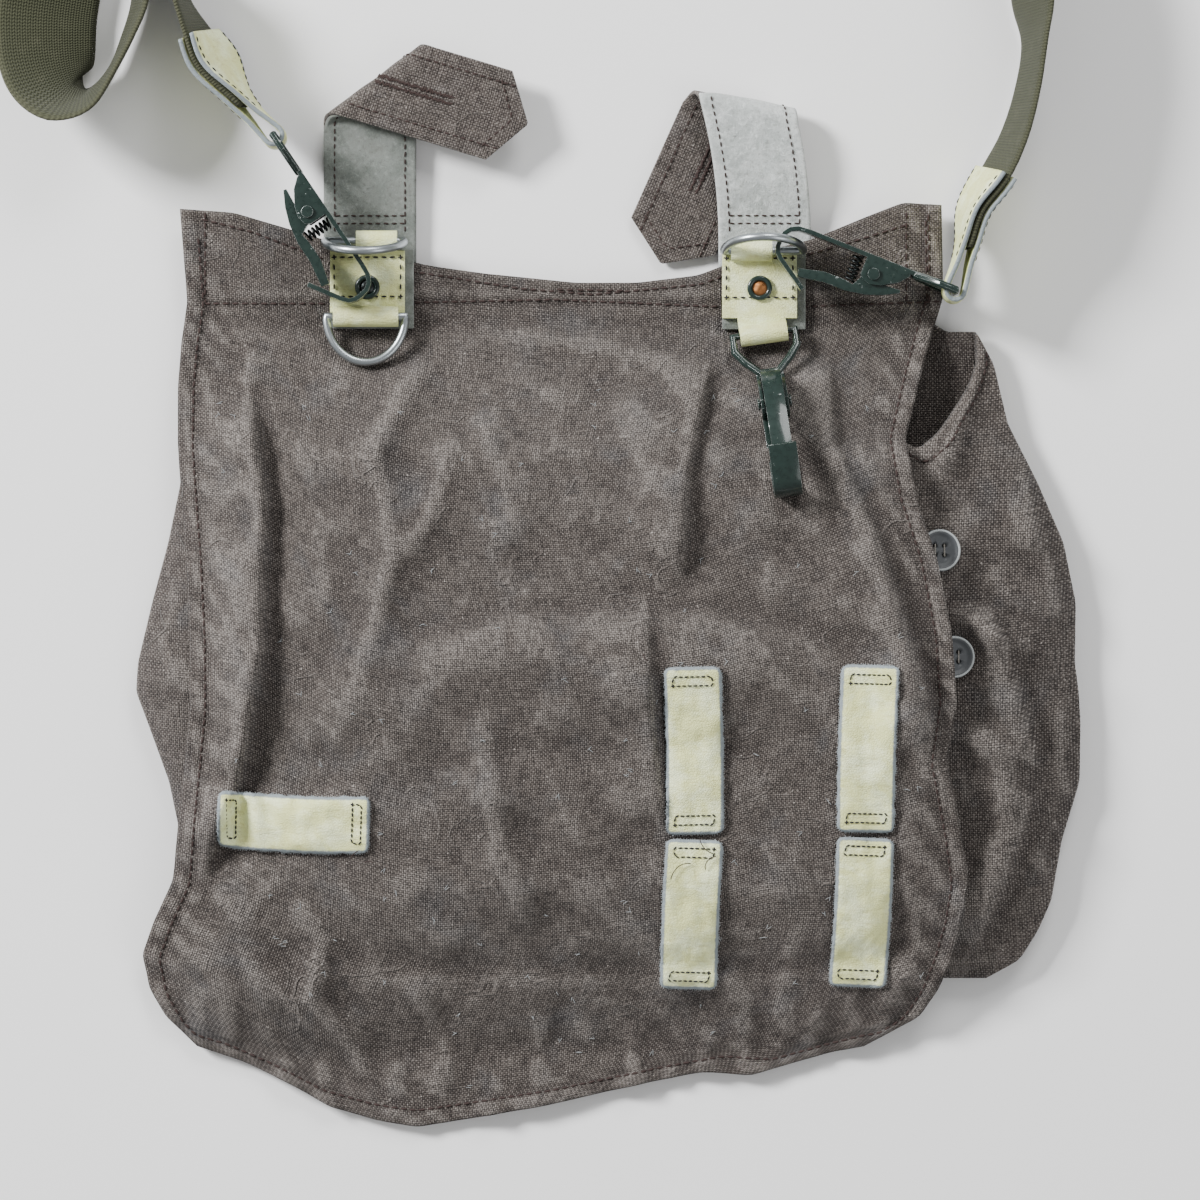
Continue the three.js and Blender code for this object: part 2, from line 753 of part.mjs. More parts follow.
for (const [name, bar] of Object.entries({ left: leftBarPlace, right: rightBarPlace })) {
  const mesh = add(`d_ring_${name}`, dRing(), steelMaterial);
  mesh.position.set(bar.x, bar.y, barHeight);
  mesh.rotation.x = THREE.MathUtils.degToRad(90 + barPlaces[name].lean);
}

const lowerRing = add('d_ring_lower', dRing(), steelMaterial);
lowerRing.position.set(lowerBarPlace.x, lowerBarPlace.y, barHeight);
const lowerRest = highestUnder(
  new THREE.Vector2(lowerBarPlace.x, lowerBarPlace.y - ringDepth),
  ringInner / 2,
  ringWire,
) + ringWire / 2 + 2 * clearance;
lowerRing.rotation.x = Math.PI - Math.asin((lowerRest - barHeight) / ringDepth);

// Snap hooks. Local X runs from the bend to the eye, Y from the outer face inwards, Z across.
// The strip's bend and bill, in shares of the hook's depth.
const billOutline = [
  { along: 0.463, depth: 0 },
  { along: 0.255, depth: 0.016 },
  { along: 0.12, depth: 0.083 },
  { along: 0.037, depth: 0.194 },
  { along: 0.009, depth: 0.333 },
  { along: 0.009, depth: 0.463 },
  { along: 0.051, depth: 0.574 },
  { along: 0.144, depth: 0.662 },
  { along: 0.667, depth: 1 },
];

// The ears beside the pivot: forward of it in shares of the lever's reach, and from the outer face
// in shares of the pivot's depth.
const earOutline = [
  { forward: 0.167, depth: 0.031 },
  { forward: -0.481, depth: 0.031 },
  { forward: -0.481, depth: 0.385 },
  { forward: -0.364, depth: 0.923 },
  { forward: -0.151, depth: 1.431 },
  { forward: 0, depth: 1.6 },
  { forward: 0.116, depth: 1.477 },
  { forward: 0.167, depth: 1.231 },
];

// The lever from its tip by its underside to its tail and back: forward of the pivot in shares of
// its reach, and inwards of the pivot in shares of the hook's depth.
const leverUnderside = 0.259;
const leverOutline = [
  { forward: 1, inwards: 0.366 },
  { forward: 0.647, inwards: leverUnderside },
  { forward: 0.353, inwards: leverUnderside },
  { forward: 0.217, inwards: 0.282 },
  { forward: 0.155, inwards: 0.139 },
  { forward: 0.132, inwards: 0 },
  { forward: 0.093, inwards: -0.106 },
  { forward: 0, inwards: -0.153 },
  { forward: -0.093, inwards: -0.106 },
  { forward: -0.14, inwards: 0 },
  { forward: -0.178, inwards: 0.106 },
  { forward: -0.43, inwards: 0.079 },
  { forward: -0.438, inwards: 0.13 },
  { forward: -0.221, inwards: 0.269 },
  { forward: 0.008, inwards: 0.366 },
  { forward: 0.291, inwards: 0.426 },
  { forward: 0.589, inwards: 0.426 },
  { forward: 0.969, inwards: 0.5 },
];
const leverReach = pivotAlong - 0.5 * hookDepth;
const springForward = 0.283 * leverReach;
const eyeCentre = eyeWire / 2 - clearance;

function thickened(outer, thickness) {
  const inner = outer.map((here, index) => {
    const before = outer[Math.max(index - 1, 0)];
    const after = outer[Math.min(index + 1, outer.length - 1)];
    const along = after.clone().sub(before).normalize();
    return new THREE.Vector2(here.x + along.y * thickness, here.y - along.x * thickness);
  });
  return [...outer, ...inner.reverse()];
}

function disc(x, y, radius, length) {
  return new THREE.CylinderGeometry(radius, radius, length, 12).rotateX(Math.PI / 2).translate(x, y, 0);
}

// Half of the eye's wire loop: how far it goes from the neck to the bar, and its half width.
const eyeOutline = [
  { far: 1, half: 1 },
  { far: 0.57, half: 1 },
  { far: 0.25, half: 0.72 },
  { far: -0.11, half: 0.28 },
];

function hookEye() {
  const half = (eyeWidth - eyeWire) / 2;
  const side = (sign) => eyeOutline.map((row) => (
    new THREE.Vector2(mix(hookNeck, hookBarAlong, row.far), sign * row.half * half)
  ));
  const bar = [new THREE.Vector2(hookBarAlong, -half / 2), new THREE.Vector2(hookBarAlong, half / 2)];
  const loop = wireLoop([...bar, ...side(1), ...side(-1).reverse()], eyeWire / 2, 8);
  return loop.rotateX(Math.PI / 2).translate(0, eyeCentre, 0);
}

function pivotHole() {
  return disc(pivotAlong, pivotDepth, pinRadius + clearance, hookWidth + 2);
}

function hookBody() {
  const bill = billOutline.map(({ along, depth }) => new THREE.Vector2(along * hookDepth, depth * hookDepth));
  const strip = extrude(thickened([new THREE.Vector2(hookNeck, 0), ...bill], hookSheet), hookWidth);
  const ear = extrude(
    earOutline.map(({ forward, depth }) => (
      new THREE.Vector2(pivotAlong - forward * leverReach, depth * pivotDepth)
    )),
    earSheet,
  );
  const offset = (hookWidth - earSheet) / 2;
  const ears = [ear.clone().translate(0, 0, offset), ear.clone().translate(0, 0, -offset)];
  return cut(join(strip, ...ears, hookEye()), pivotHole());
}

function hookLever() {
  const outline = leverOutline.map(({ forward, inwards }) => (
    new THREE.Vector2(pivotAlong - forward * leverReach, pivotDepth + inwards * hookDepth)
  ));
  return cut(extrude(outline, hookWidth - 2 * (earSheet + clearance)), pivotHole());
}

function hookPin() {
  const offset = (hookWidth + pinHead) / 2 + clearance;
  const shank = disc(pivotAlong, pivotDepth, pinRadius, 2 * offset);
  const head = disc(pivotAlong, pivotDepth, pinRadius + pinHead, pinHead);
  return join(shank, head.clone().translate(0, 0, offset), head.clone().translate(0, 0, -offset));
}

class Helix extends THREE.Curve {
  getPoint(share, target = new THREE.Vector3()) {
    const angle = 2 * Math.PI * springTurns * share;
    const start = hookSheet + clearance + springWire / 2;
    const end = pivotDepth + leverUnderside * hookDepth - clearance - springGive - springWire / 2;
    return target.set(
      pivotAlong - springForward + springRadius * Math.cos(angle),
      mix(start, end, share),
      springRadius * Math.sin(angle),
    );
  }
}

function hookSpring() {
  const section = new THREE.Shape();
  section.absarc(0, 0, springWire / 2, 0, 2 * Math.PI);
  return new THREE.ExtrudeGeometry(section, {
    steps: springTurns * 6, curveSegments: 2, bevelEnabled: false, extrudePath: new Helix(),
  });
}

// A hook from its bend's corner, the way from the bend to the eye and the way inwards.
function addHook(name, corner, along, inwards) {
  const group = new THREE.Group();
  const across = along.clone().cross(inwards);
  group.applyMatrix4(new THREE.Matrix4().makeBasis(along, inwards, across).setPosition(corner));
  haversack.add(group);
  add(`hook_${name}_body`, hookBody(), greenMaterial, group);
  add(`hook_${name}_lever`, hookLever(), greenMaterial, group);
  add(`hook_${name}_pin`, hookPin(), greenMaterial, group);
  add(`hook_${name}_spring`, hookSpring(), greenMaterial, group);
  return group;
}

function heading(degrees) {
  const angle = THREE.MathUtils.degToRad(degrees);
  return new THREE.Vector3(Math.cos(angle), Math.sin(angle), 0);
}

// The left hook comes in from the upper left, the right one from the right; both lie on their side.
// Their bend is placed from the middle of their ring's bar.
const leftHeading = heading(124);
const leftInwards = heading(214);
const leftSeat = new THREE.Vector2(5.7, -16.8).add(leftBarPlace);
const leftCorner = new THREE.Vector3(leftSeat.x, leftSeat.y, hookHeight);
const rightHeading = heading(-21.7);
const rightInwards = heading(-111.7);
const rightSeat = new THREE.Vector2(7.6, 10.6).add(rightBarPlace);
const rightCorner = new THREE.Vector3(rightSeat.x, rightSeat.y, hookHeight);
addHook('left', leftCorner, leftHeading, leftInwards);
addHook('right', rightCorner, rightHeading, rightInwards);

// The spare hook hangs from the right chape's tab and lies on the flap's slope, bill up. Its pitch
// is the least one that keeps its strip off the flap.
const spareHeading = heading(90 + THREE.MathUtils.radToDeg(spareTurn));
let sparePitch = 0;
for (let degrees = 0; degrees < 60; degrees += 0.25) {
  const pitch = THREE.MathUtils.degToRad(degrees);
  let clear = Infinity;
  for (let along = 0; along < hookNeck; along += 3) {
    for (const sideways of [-0.5, -0.25, 0, 0.25, 0.5]) {
      const run = (hookBarAlong - along) * Math.cos(pitch);
      const x = spareBarPlace.x - spareHeading.x * run + spareHeading.y * sideways * hookWidth;
      const y = spareBarPlace.y - spareHeading.y * run - spareHeading.x * sideways * hookWidth;
      const z = barHeight + (hookBarAlong - along) * Math.sin(pitch) - eyeCentre * Math.cos(pitch);
      clear = Math.min(clear, z - flapHeight(x, y));
    }
  }
  sparePitch = pitch;
  if (clear > 2 * clearance) {
    break;
  }
}
const spareAlong = new THREE.Vector3(
  spareHeading.x * Math.cos(sparePitch), spareHeading.y * Math.cos(sparePitch), -Math.sin(sparePitch),
);
const spareSide = new THREE.Vector3(spareHeading.y, -spareHeading.x, 0);
const spareInwards = spareSide.clone().cross(spareAlong);
const spareCorner = new THREE.Vector3(spareBarPlace.x, spareBarPlace.y, barHeight)
  .addScaledVector(spareAlong, -hookBarAlong)
  .addScaledVector(spareInwards, -eyeCentre);
addHook('spare', spareCorner, spareAlong, spareInwards);

// Belt loops: a strip that comes up from behind the header and folds over a slanted line.
const beltLoops = {
  left: {
    root: onFlap(-0.227, 0.115),
    fold: [onFlap(-0.279, -0.084), onFlap(-0.173, -0.154)],
    way: 1,
    lift: 1,
    sway: 0,
  },
  right: {
    root: onFlap(0.255, 0.115),
    fold: [onFlap(0.3, -0.087), onFlap(0.163, -0.113)],
    way: -1,
    lift: 7.2,
    sway: 6.5,
  },
};

// The way across the fold line, away from the header.
function beyondFold({ fold: [from, to] }) {
  const line = to.clone().sub(from).normalize();
  const beyond = new THREE.Vector2(-line.y, line.x);
  return beyond.y < 0 ? beyond.negate() : beyond;
}

function beltLoopPoint(loop, across, along, level) {
  const beyond = beyondFold(loop);
  const far = along / beltLoopFace;
  const sway = loop.sway * Math.min((Math.max(far - 0.32, 0) / 0.64) ** 2, 1.6);
  const place = new THREE.Vector2(loop.root.x + across - sway, loop.root.y + along);
  const past = place.clone().sub(loop.fold[0]).dot(beyond);
  const rise = loop.lift * ease(0.31, 0.79, far);
  const radius = beltLoopFoldRadius;
  const angle = THREE.MathUtils.clamp(past / radius, 0, Math.PI);
  const curl = radius - loop.way * (level - beltLoopTab / 2);
  const middle = rise + beltLoopTab / 2 + loop.way * radius;
  if (past > 0) {
    const back = Math.max(past - Math.PI * radius, 0);
    place.addScaledVector(beyond, -past - back + curl * Math.sin(angle));
  }
  const height = past > 0 ? middle - loop.way * curl * Math.cos(angle) : rise + level;
  return new THREE.Vector3(place.x, place.y, height + clearance);
}

function beltLoopStrip(loop, length, low, high, pointed) {
  const lanes = [-0.5, -0.25, 0, 0.25, 0.5];
  const beyond = beyondFold(loop);
  const starts = [lanes[0], lanes.at(-1)].map((over) => (
    loop.fold[0].clone().sub(loop.root).dot(beyond) - over * beltLoopWidth * beyond.x
  ) / beyond.y);
  const first = Math.min(...starts) - beltLoopFoldRadius;
  const last = Math.max(...starts) + 5 * beltLoopFoldRadius;
  const stops = [0];
  while (stops.at(-1) < length) {
    const folding = stops.at(-1) > first && stops.at(-1) < last;
    stops.push(Math.min(stops.at(-1) + (folding ? beltLoopFoldRadius / 2 : tabPoint), length));
  }
  const layer = (level) => stops.map((along) => lanes.map((over) => {
    const narrowing = pointed ? Math.max(along - (length - tabPoint), 0) * Math.abs(2 * over) : 0;
    return beltLoopPoint(loop, beltLoopWidth * over, along - narrowing, level);
  }));
  return sheet(layer(high), layer(low));
}

for (const [name, loop] of Object.entries(beltLoops)) {
  add(`belt_loop_${name}_tab`, beltLoopStrip(loop, beltLoopLength, 0, beltLoopTab, true), canvasMaterial);
  const under = beltLoopTab + clearance;
  const face = beltLoopStrip(loop, beltLoopFace, under, under + suede, false);
  add(`belt_loop_${name}_face`, face, suedeMaterial);
}

// The shoulder strap's way from the left hook's eye to the right hook's, in shares of the flap,
// with its lean from upright in degrees, the top towards the left of the way.
const strapRoute = [
  { side: -0.382, down: -0.111, lean: 8 },
  { side: -0.413, down: -0.152, lean: 20 },
  { side: -0.436, down: -0.188, lean: 12 },
  { side: -0.453, down: -0.219, lean: 6 },
  { side: -0.467, down: -0.259, lean: 4 },
  { side: -0.487, down: -0.284, lean: 4 },
  { side: -0.507, down: -0.259, lean: 8 },
  { side: -0.504, down: -0.219, lean: 12 },
  { side: -0.518, down: -0.181, lean: 10 },
  { side: -0.538, down: -0.143, lean: 8 },
  { side: -0.563, down: -0.115, lean: 14 },
  { side: -0.594, down: -0.115, lean: 34 },
  { side: -0.614, down: -0.14, lean: 58 },
  { side: -0.621, down: -0.176, lean: 72 },
  { side: -0.619, down: -0.219, lean: 78 },
  { side: -0.585, down: -0.326, lean: 60 },
  { side: -0.491, down: -0.455, lean: 30 },
  { side: -0.322, down: -0.595, lean: 15 },
  { side: -0.092, down: -0.675, lean: 12 },
  { side: 0.151, down: -0.675, lean: 12 },
  { side: 0.369, down: -0.584, lean: 12 },
  { side: 0.514, down: -0.423, lean: 15 },
  { side: 0.569, down: -0.283, lean: 18 },
  { side: 0.579, down: -0.219, lean: 19 },
  { side: 0.581, down: -0.175, lean: 10 },
  { side: 0.572, down: -0.122, lean: 10 },
  { side: 0.556, down: -0.073, lean: 12 },
  { side: 0.534, down: -0.033, lean: 14 },
  { side: 0.508, down: 0.005, lean: 10 },
  { side: 0.499, down: 0.045, lean: 4 },
];

function hookBar(corner, along, inwards) {
  return corner.clone().addScaledVector(along, hookBarAlong).addScaledVector(inwards, eyeCentre);
}

const leftBar = hookBar(leftCorner, leftHeading, leftInwards);
const rightBar = hookBar(rightCorner, rightHeading, rightInwards);
const strapCurve = new THREE.CatmullRomCurve3([
  new THREE.Vector3(leftBar.x, leftBar.y, 0),
  ...strapRoute.map(({ side, down, lean }) => {
    const place = onFlap(side, down);
    return new THREE.Vector3(place.x, place.y, lean);
  }),
  new THREE.Vector3(rightBar.x, rightBar.y, 0),
]);

// Stations along the strap: place, way, lean and distance from the left bar.
const strapSteps = (strapRoute.length + 1) * 12;
const strapLine = [];
for (let step = 0; step <= strapSteps; step += 1) {
  const here = strapCurve.getPoint(step / strapSteps);
  const place = new THREE.Vector2(here.x, here.y);
  const before = strapLine[step - 1];
  const run = before ? before.run + place.distanceTo(before.place) : 0;
  strapLine.push({ place, lean: THREE.MathUtils.degToRad(here.z), run });
}
const strapLength = strapLine[strapSteps].run;

// Frame of the strap at a distance from the left bar: centre, way, across the width and face.
function strapFrame(run) {
  const found = strapLine.findIndex((row) => row.run > run);
  const next = found < 0 ? strapSteps : Math.max(found, 1);
  const [low, high] = [strapLine[next - 1], strapLine[next]];
  const share = (run - low.run) / (high.run - low.run);
  const place = low.place.clone().lerp(high.place, share);
  const lean = mix(low.lean, high.lean, share);
  const way = high.place.clone().sub(low.place).normalize();
  const left = new THREE.Vector3(-way.y, way.x, 0);
  const up = new THREE.Vector3(0, 0, 1);
  const lying = (strapWidth / 2) * Math.cos(lean) + (webbing / 2 + leather) * Math.sin(lean) + clearance;
  const end = Math.min(run, strapLength - run);
  return {
    centre: new THREE.Vector3(place.x, place.y, mix(hookHeight, lying, ease(0, strapEndLength, end))),
    way: new THREE.Vector3(way.x, way.y, 0),
    across: up.clone().multiplyScalar(Math.cos(lean)).addScaledVector(left, Math.sin(lean)),
    face: left.clone().multiplyScalar(Math.cos(lean)).addScaledVector(up, -Math.sin(lean)),
    width: mix(strapEndWidth, strapWidth, ease(0, strapEndLength * 0.9, end)),
  };
}

function bandSection(centre, across, face, width, thickness) {
  const corner = (a, b) => centre.clone()
    .addScaledVector(across, (a * width) / 2)
    .addScaledVector(face, (b * thickness) / 2);
  return [corner(1, 1), corner(1, -1), corner(-1, -1), corner(-1, 1)];
}

// The webbing starts inside the leather ends and shares their stations there.
const endSteps = 9;
const endStations = Array.from({ length: endSteps + 1 }, (_, step) => (strapEndLength * step) / endSteps);

function strapWebbing() {
  const inner = endStations.slice(3);
  const middle = strapLine
    .filter((_, step) => step % 4 === 0)
    .map((row) => row.run)
    .filter((run) => run > strapEndLength + 2 && run < strapLength - strapEndLength - 2);
  const runs = [...inner, ...middle, ...inner.map((run) => strapLength - run).reverse()];
  return loft(runs.map((run) => {
    const { centre, across, face, width } = strapFrame(run);
    return bandSection(centre, across, face, width - 1, webbing);
  }));
}

// A leather end: down one face of the webbing, round the hook's bar and back up the other face.
function strapEnd(atStart) {
  const turns = 8;
  const bend = eyeWire / 2 + clearance + strapPlay + leather / 2;
  const lay = webbing / 2 + clearance + leather / 2;
  const sign = atStart ? 1 : -1;
  const leg = (side) => endStations.map((distance) => {
    const { centre, across, face, width } = strapFrame(atStart ? distance : strapLength - distance);
    const off = mix(bend, lay, ease(0, 12, distance));
    const outward = face.multiplyScalar(side);
    return bandSection(centre.addScaledVector(outward, off), across, outward, width, leather);
  });
  const rings = leg(1).reverse();
  const { centre, way, face, across, width } = strapFrame(atStart ? 0 : strapLength);
  for (let turn = 1; turn < turns; turn += 1) {
    const angle = (Math.PI * turn) / turns;
    const outward = face.clone().multiplyScalar(Math.cos(angle));
    outward.addScaledVector(way, -sign * Math.sin(angle));
    rings.push(bandSection(centre.clone().addScaledVector(outward, bend), across, outward, width, leather));
  }
  return loft([...rings, ...leg(-1)]);
}

add('strap_webbing', strapWebbing(), webbingMaterial);
add('strap_end_left', strapEnd(true), creamMaterial);
add('strap_end_right', strapEnd(false), creamMaterial);

export default haversack;
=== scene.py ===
import math
import bmesh
import bpy
import numpy as np
from mathutils import Matrix, Vector


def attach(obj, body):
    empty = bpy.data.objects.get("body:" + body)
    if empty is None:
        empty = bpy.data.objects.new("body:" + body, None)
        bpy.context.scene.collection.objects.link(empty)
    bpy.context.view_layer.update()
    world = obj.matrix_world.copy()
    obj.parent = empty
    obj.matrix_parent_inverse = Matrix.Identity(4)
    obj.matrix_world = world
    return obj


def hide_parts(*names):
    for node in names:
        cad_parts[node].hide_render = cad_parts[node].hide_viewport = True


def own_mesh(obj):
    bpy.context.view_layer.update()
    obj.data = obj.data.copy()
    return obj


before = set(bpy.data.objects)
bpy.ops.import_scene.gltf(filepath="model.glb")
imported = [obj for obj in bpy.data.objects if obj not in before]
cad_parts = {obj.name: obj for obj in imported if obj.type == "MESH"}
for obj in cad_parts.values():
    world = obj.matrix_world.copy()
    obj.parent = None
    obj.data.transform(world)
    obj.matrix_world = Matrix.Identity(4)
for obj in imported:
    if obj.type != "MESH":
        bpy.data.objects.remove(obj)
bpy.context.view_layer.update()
mm = 0.001
chance = np.random.default_rng(7)

# Sizes below are in millimetres, X to the right, Y up the bag, Z out of the flap.
photo = {"originX": 600, "originY": 640, "scale": 0.36}


def at(px, py):
    # a place on the ground from a pixel of the photograph
    return ((px - photo["originX"]) * photo["scale"], (photo["originY"] - py) * photo["scale"])


def ease(start, end, value):
    # a smooth step, 0 up to start and 1 from end on
    t = np.clip((np.asarray(value, float) - start) / (end - start), 0, 1)
    return t * t * (3 - 2 * t)


def mix(a, b, t):
    # the value a share t of the way from a to b
    return a + (b - a) * t


def smoothTable(xs, ys, blur=0.02):
    # a line through a table's points with its corners rounded
    fine = np.linspace(xs[0], xs[-1], 401)
    line = np.interp(fine, xs, ys)
    kernel = np.exp(-np.linspace(-2, 2, 2 * int(blur * 400) + 1) ** 2)
    pad = len(kernel) // 2
    ends = np.concatenate([2 * line[0] - line[pad:0:-1], line, 2 * line[-1] - line[-2:-pad - 2:-1]])
    line = np.convolve(ends, kernel / kernel.sum(), "valid")
    return lambda value: np.interp(value, fine, line)


class Waves:
    # soft random relief from waves of seeded direction, length and phase
    def __init__(self, length, count=14):
        angle = chance.uniform(0, math.pi, count)
        size = 2 * math.pi / (length * chance.uniform(0.6, 1.6, count))
        self.kx = np.cos(angle) * size
        self.ky = np.sin(angle) * size
        self.phase = chance.uniform(0, 2 * math.pi, count)

    def __call__(self, x, y):
        total = sum(np.sin(kx * x + ky * y + p) for kx, ky, p in zip(self.kx, self.ky, self.phase))
        return total / math.sqrt(len(self.kx))

    def ridged(self, x, y):
        # narrow crests where the waves cross zero
        return np.maximum(1 - np.abs(self(x, y)) * 1.3, 0) ** 2


def foldRelief(x, y, folds):
    # rise of drawn folds: a ridge on both sides of its line, a step on the left side only
    total = np.zeros_like(x)
    for fold in folds:
        line = [np.array(at(*p)) for p in fold["line"]]
        near = np.full_like(x, 1e9)
        side = np.ones_like(x)
        share = np.zeros_like(x)
        for i in range(len(line) - 1):
            run = line[i + 1] - line[i]
            fx, fy = x - line[i][0], y - line[i][1]
            t = np.clip((fx * run[0] + fy * run[1]) / (run @ run), 0, 1)
            ox, oy = fx - t * run[0], fy - t * run[1]
            off = np.hypot(ox, oy)
            closer = off < near
            near = np.where(closer, off, near)
            side = np.where(closer, np.sign(run[0] * oy - run[1] * ox), side)
            share = np.where(closer, (i + t) / (len(line) - 1), share)
        fade = ease(0, fold["fade"], share) * ease(0, fold["fade"], 1 - share)
        width = fold["width"]
        bump = np.exp(-(near / width) ** 2)
        if fold["step"]:
            bump = bump * (0.5 - 0.5 * np.tanh(side * near * 3 * fold["step"] / width))
        else:
            bump = 0.8 * bump + 0.35 * np.exp(-(near / (0.35 * width)) ** 2)
        total = total + fold["rise"] * fade * bump
    return total


# meshes from grids
def finishMesh(name, points, faces, uv=None, attributes=None):
    # a mesh piece from points in millimetres
    mesh = bpy.data.meshes.new(name)
    mesh.from_pydata((np.asarray(points, float) * mm).tolist(), [], [list(f) for f in faces])
    mesh.validate()
    if uv is not None:
        layer = mesh.uv_layers.new(name="UVMap")
        loops = np.zeros(len(mesh.loops), dtype=np.int32)
        mesh.loops.foreach_get("vertex_index", loops)
        layer.data.foreach_set("uv", np.asarray(uv, float)[loops].ravel())
    for key, values in (attributes or {}).items():
        attribute = mesh.attributes.new(key, "FLOAT", "POINT")
        attribute.data.foreach_set("value", np.asarray(values, np.float32))
    return placed(name, mesh)


def placed(name, mesh):
    # a smooth-shaded mesh as a piece in the scene
    mesh.polygons.foreach_set("use_smooth", [True] * len(mesh.polygons))
    piece = bpy.data.objects.new(name, mesh)
    bpy.context.scene.collection.objects.link(piece)
    return piece


def solidPiece(*parts):
    # a finished mesh with its faces turned outward
    piece = finishMesh(*parts)
    shape = bmesh.new()
    shape.from_mesh(piece.data)
    bmesh.ops.recalc_face_normals(shape, faces=shape.faces)
    shape.to_mesh(piece.data)
    shape.free()
    return piece


def gridFaces(rows, columns, base=0, flip=False, around=False):
    # quads between rows of points, open or closed round the columns
    faces = []
    last = columns if around else columns - 1
    for r in range(rows - 1):
        for c in range(last):
            n = (c + 1) % columns
            a, b = base + r * columns + c, base + r * columns + n
            d, e = base + (r + 1) * columns + c, base + (r + 1) * columns + n
            faces.append((a, b, e, d) if flip else (a, d, e, b))
    return faces


def sheetPiece(name, top, bottom, uv, attributes=None):
    # a closed sheet from its top and bottom grids of points, rows running down
    rows, columns = top.shape[:2]
    count = rows * columns
    faces = gridFaces(rows, columns) + gridFaces(rows, columns, count, True)
    rim = [(0, c) for c in range(columns - 1)] + [(r, columns - 1) for r in range(rows - 1)]
    rim += [(rows - 1, c) for c in range(columns - 1, 0, -1)] + [(r, 0) for r in range(rows - 1, 0, -1)]
    for i, (r, c) in enumerate(rim):
        s, d = rim[(i + 1) % len(rim)]
        a, b = r * columns + c, s * columns + d
        faces.append((a, b, count + b, count + a))
    points = np.concatenate([top.reshape(-1, 3), bottom.reshape(-1, 3)])
    twice = {key: np.concatenate([v.ravel(), v.ravel()]) for key, v in (attributes or {}).items()}
    return solidPiece(name, points, faces, np.concatenate([uv.reshape(-1, 2)] * 2), twice)


def ringedPiece(name, points, count, sides, closed=False, uv=None):
    # a solid round a row of rings of points, with flat ends or closed on itself
    faces = gridFaces(count, sides, 0, True, True)
    last = (count - 1) * sides
    if closed:
        faces += [(last + s, last + (s + 1) % sides, (s + 1) % sides, s) for s in range(sides)]
    else:
        faces.append(tuple(range(sides - 1, -1, -1)))
        faces.append(tuple(last + s for s in range(sides)))
    return solidPiece(name, points, faces, uv)


def tubePiece(name, path, radius, sides=12, closed=False, flat=1.0):
    # a round wire along a list of points, with even frames
    path = [Vector(p) for p in path]
    count = len(path)
    ways = []
    for i in range(count):
        before = path[i - 1] if closed or i else path[0]
        after = path[(i + 1) % count] if closed or i < count - 1 else path[-1]
        ways.append((after - before).normalized())
    up = Vector((0, 0, 1)) if abs(ways[0].z) < 0.9 else Vector((1, 0, 0))
    points = []
    side = ways[0].cross(up).normalized()
    for place, way in zip(path, ways):
        side = (side - way * side.dot(way)).normalized()
        other = way.cross(side)
        for s in range(sides):
            a = 2 * math.pi * s / sides
            points.append(place + side * math.cos(a) * radius + other * math.sin(a) * radius * flat)
    uv = [(s / sides, r * 0.1) for r in range(count) for s in range(sides)]
    return ringedPiece(name, points, count, sides, closed, uv)


def spread(path, step):
    # points at even steps along a line of points
    path = np.asarray(path, float)
    run = np.concatenate([[0], np.cumsum(np.linalg.norm(np.diff(path, axis=0), axis=1))])
    marks = np.linspace(0, run[-1], max(int(run[-1] / step), 1) + 1)
    return np.stack([np.interp(marks, run, path[:, i]) for i in range(path.shape[1])], 1)


# shader maths: a wrapped socket with operators
class Signal:
    def __init__(self, kit, socket):
        self.kit = kit
        self.socket = socket

    def maths(self, operation, *others, swap=False):
        values = [self, *others]
        if swap:
            values.reverse()
        return self.kit.node("ShaderNodeMath", {"operation": operation}, dict(enumerate(values)))

    def __add__(self, other):
        return self.maths("ADD", other)

    def __sub__(self, other):
        return self.maths("SUBTRACT", other)

    def __rsub__(self, other):
        return self.maths("SUBTRACT", other, swap=True)

    def __mul__(self, other):
        return self.maths("MULTIPLY", other)

    __radd__ = __add__
    __rmul__ = __mul__

    def clamp(self):
        return self.kit.node("ShaderNodeClamp", {}, {"Value": self})

    def above(self, level, soft):
        # 0 below a level, 1 from a soft step above it
        return self.kit.node(
            "ShaderNodeMapRange", {"interpolation_type": "SMOOTHSTEP"},
            {"Value": self, "From Min": level, "From Max": level + soft, "To Min": 0.0, "To Max": 1.0},
        )


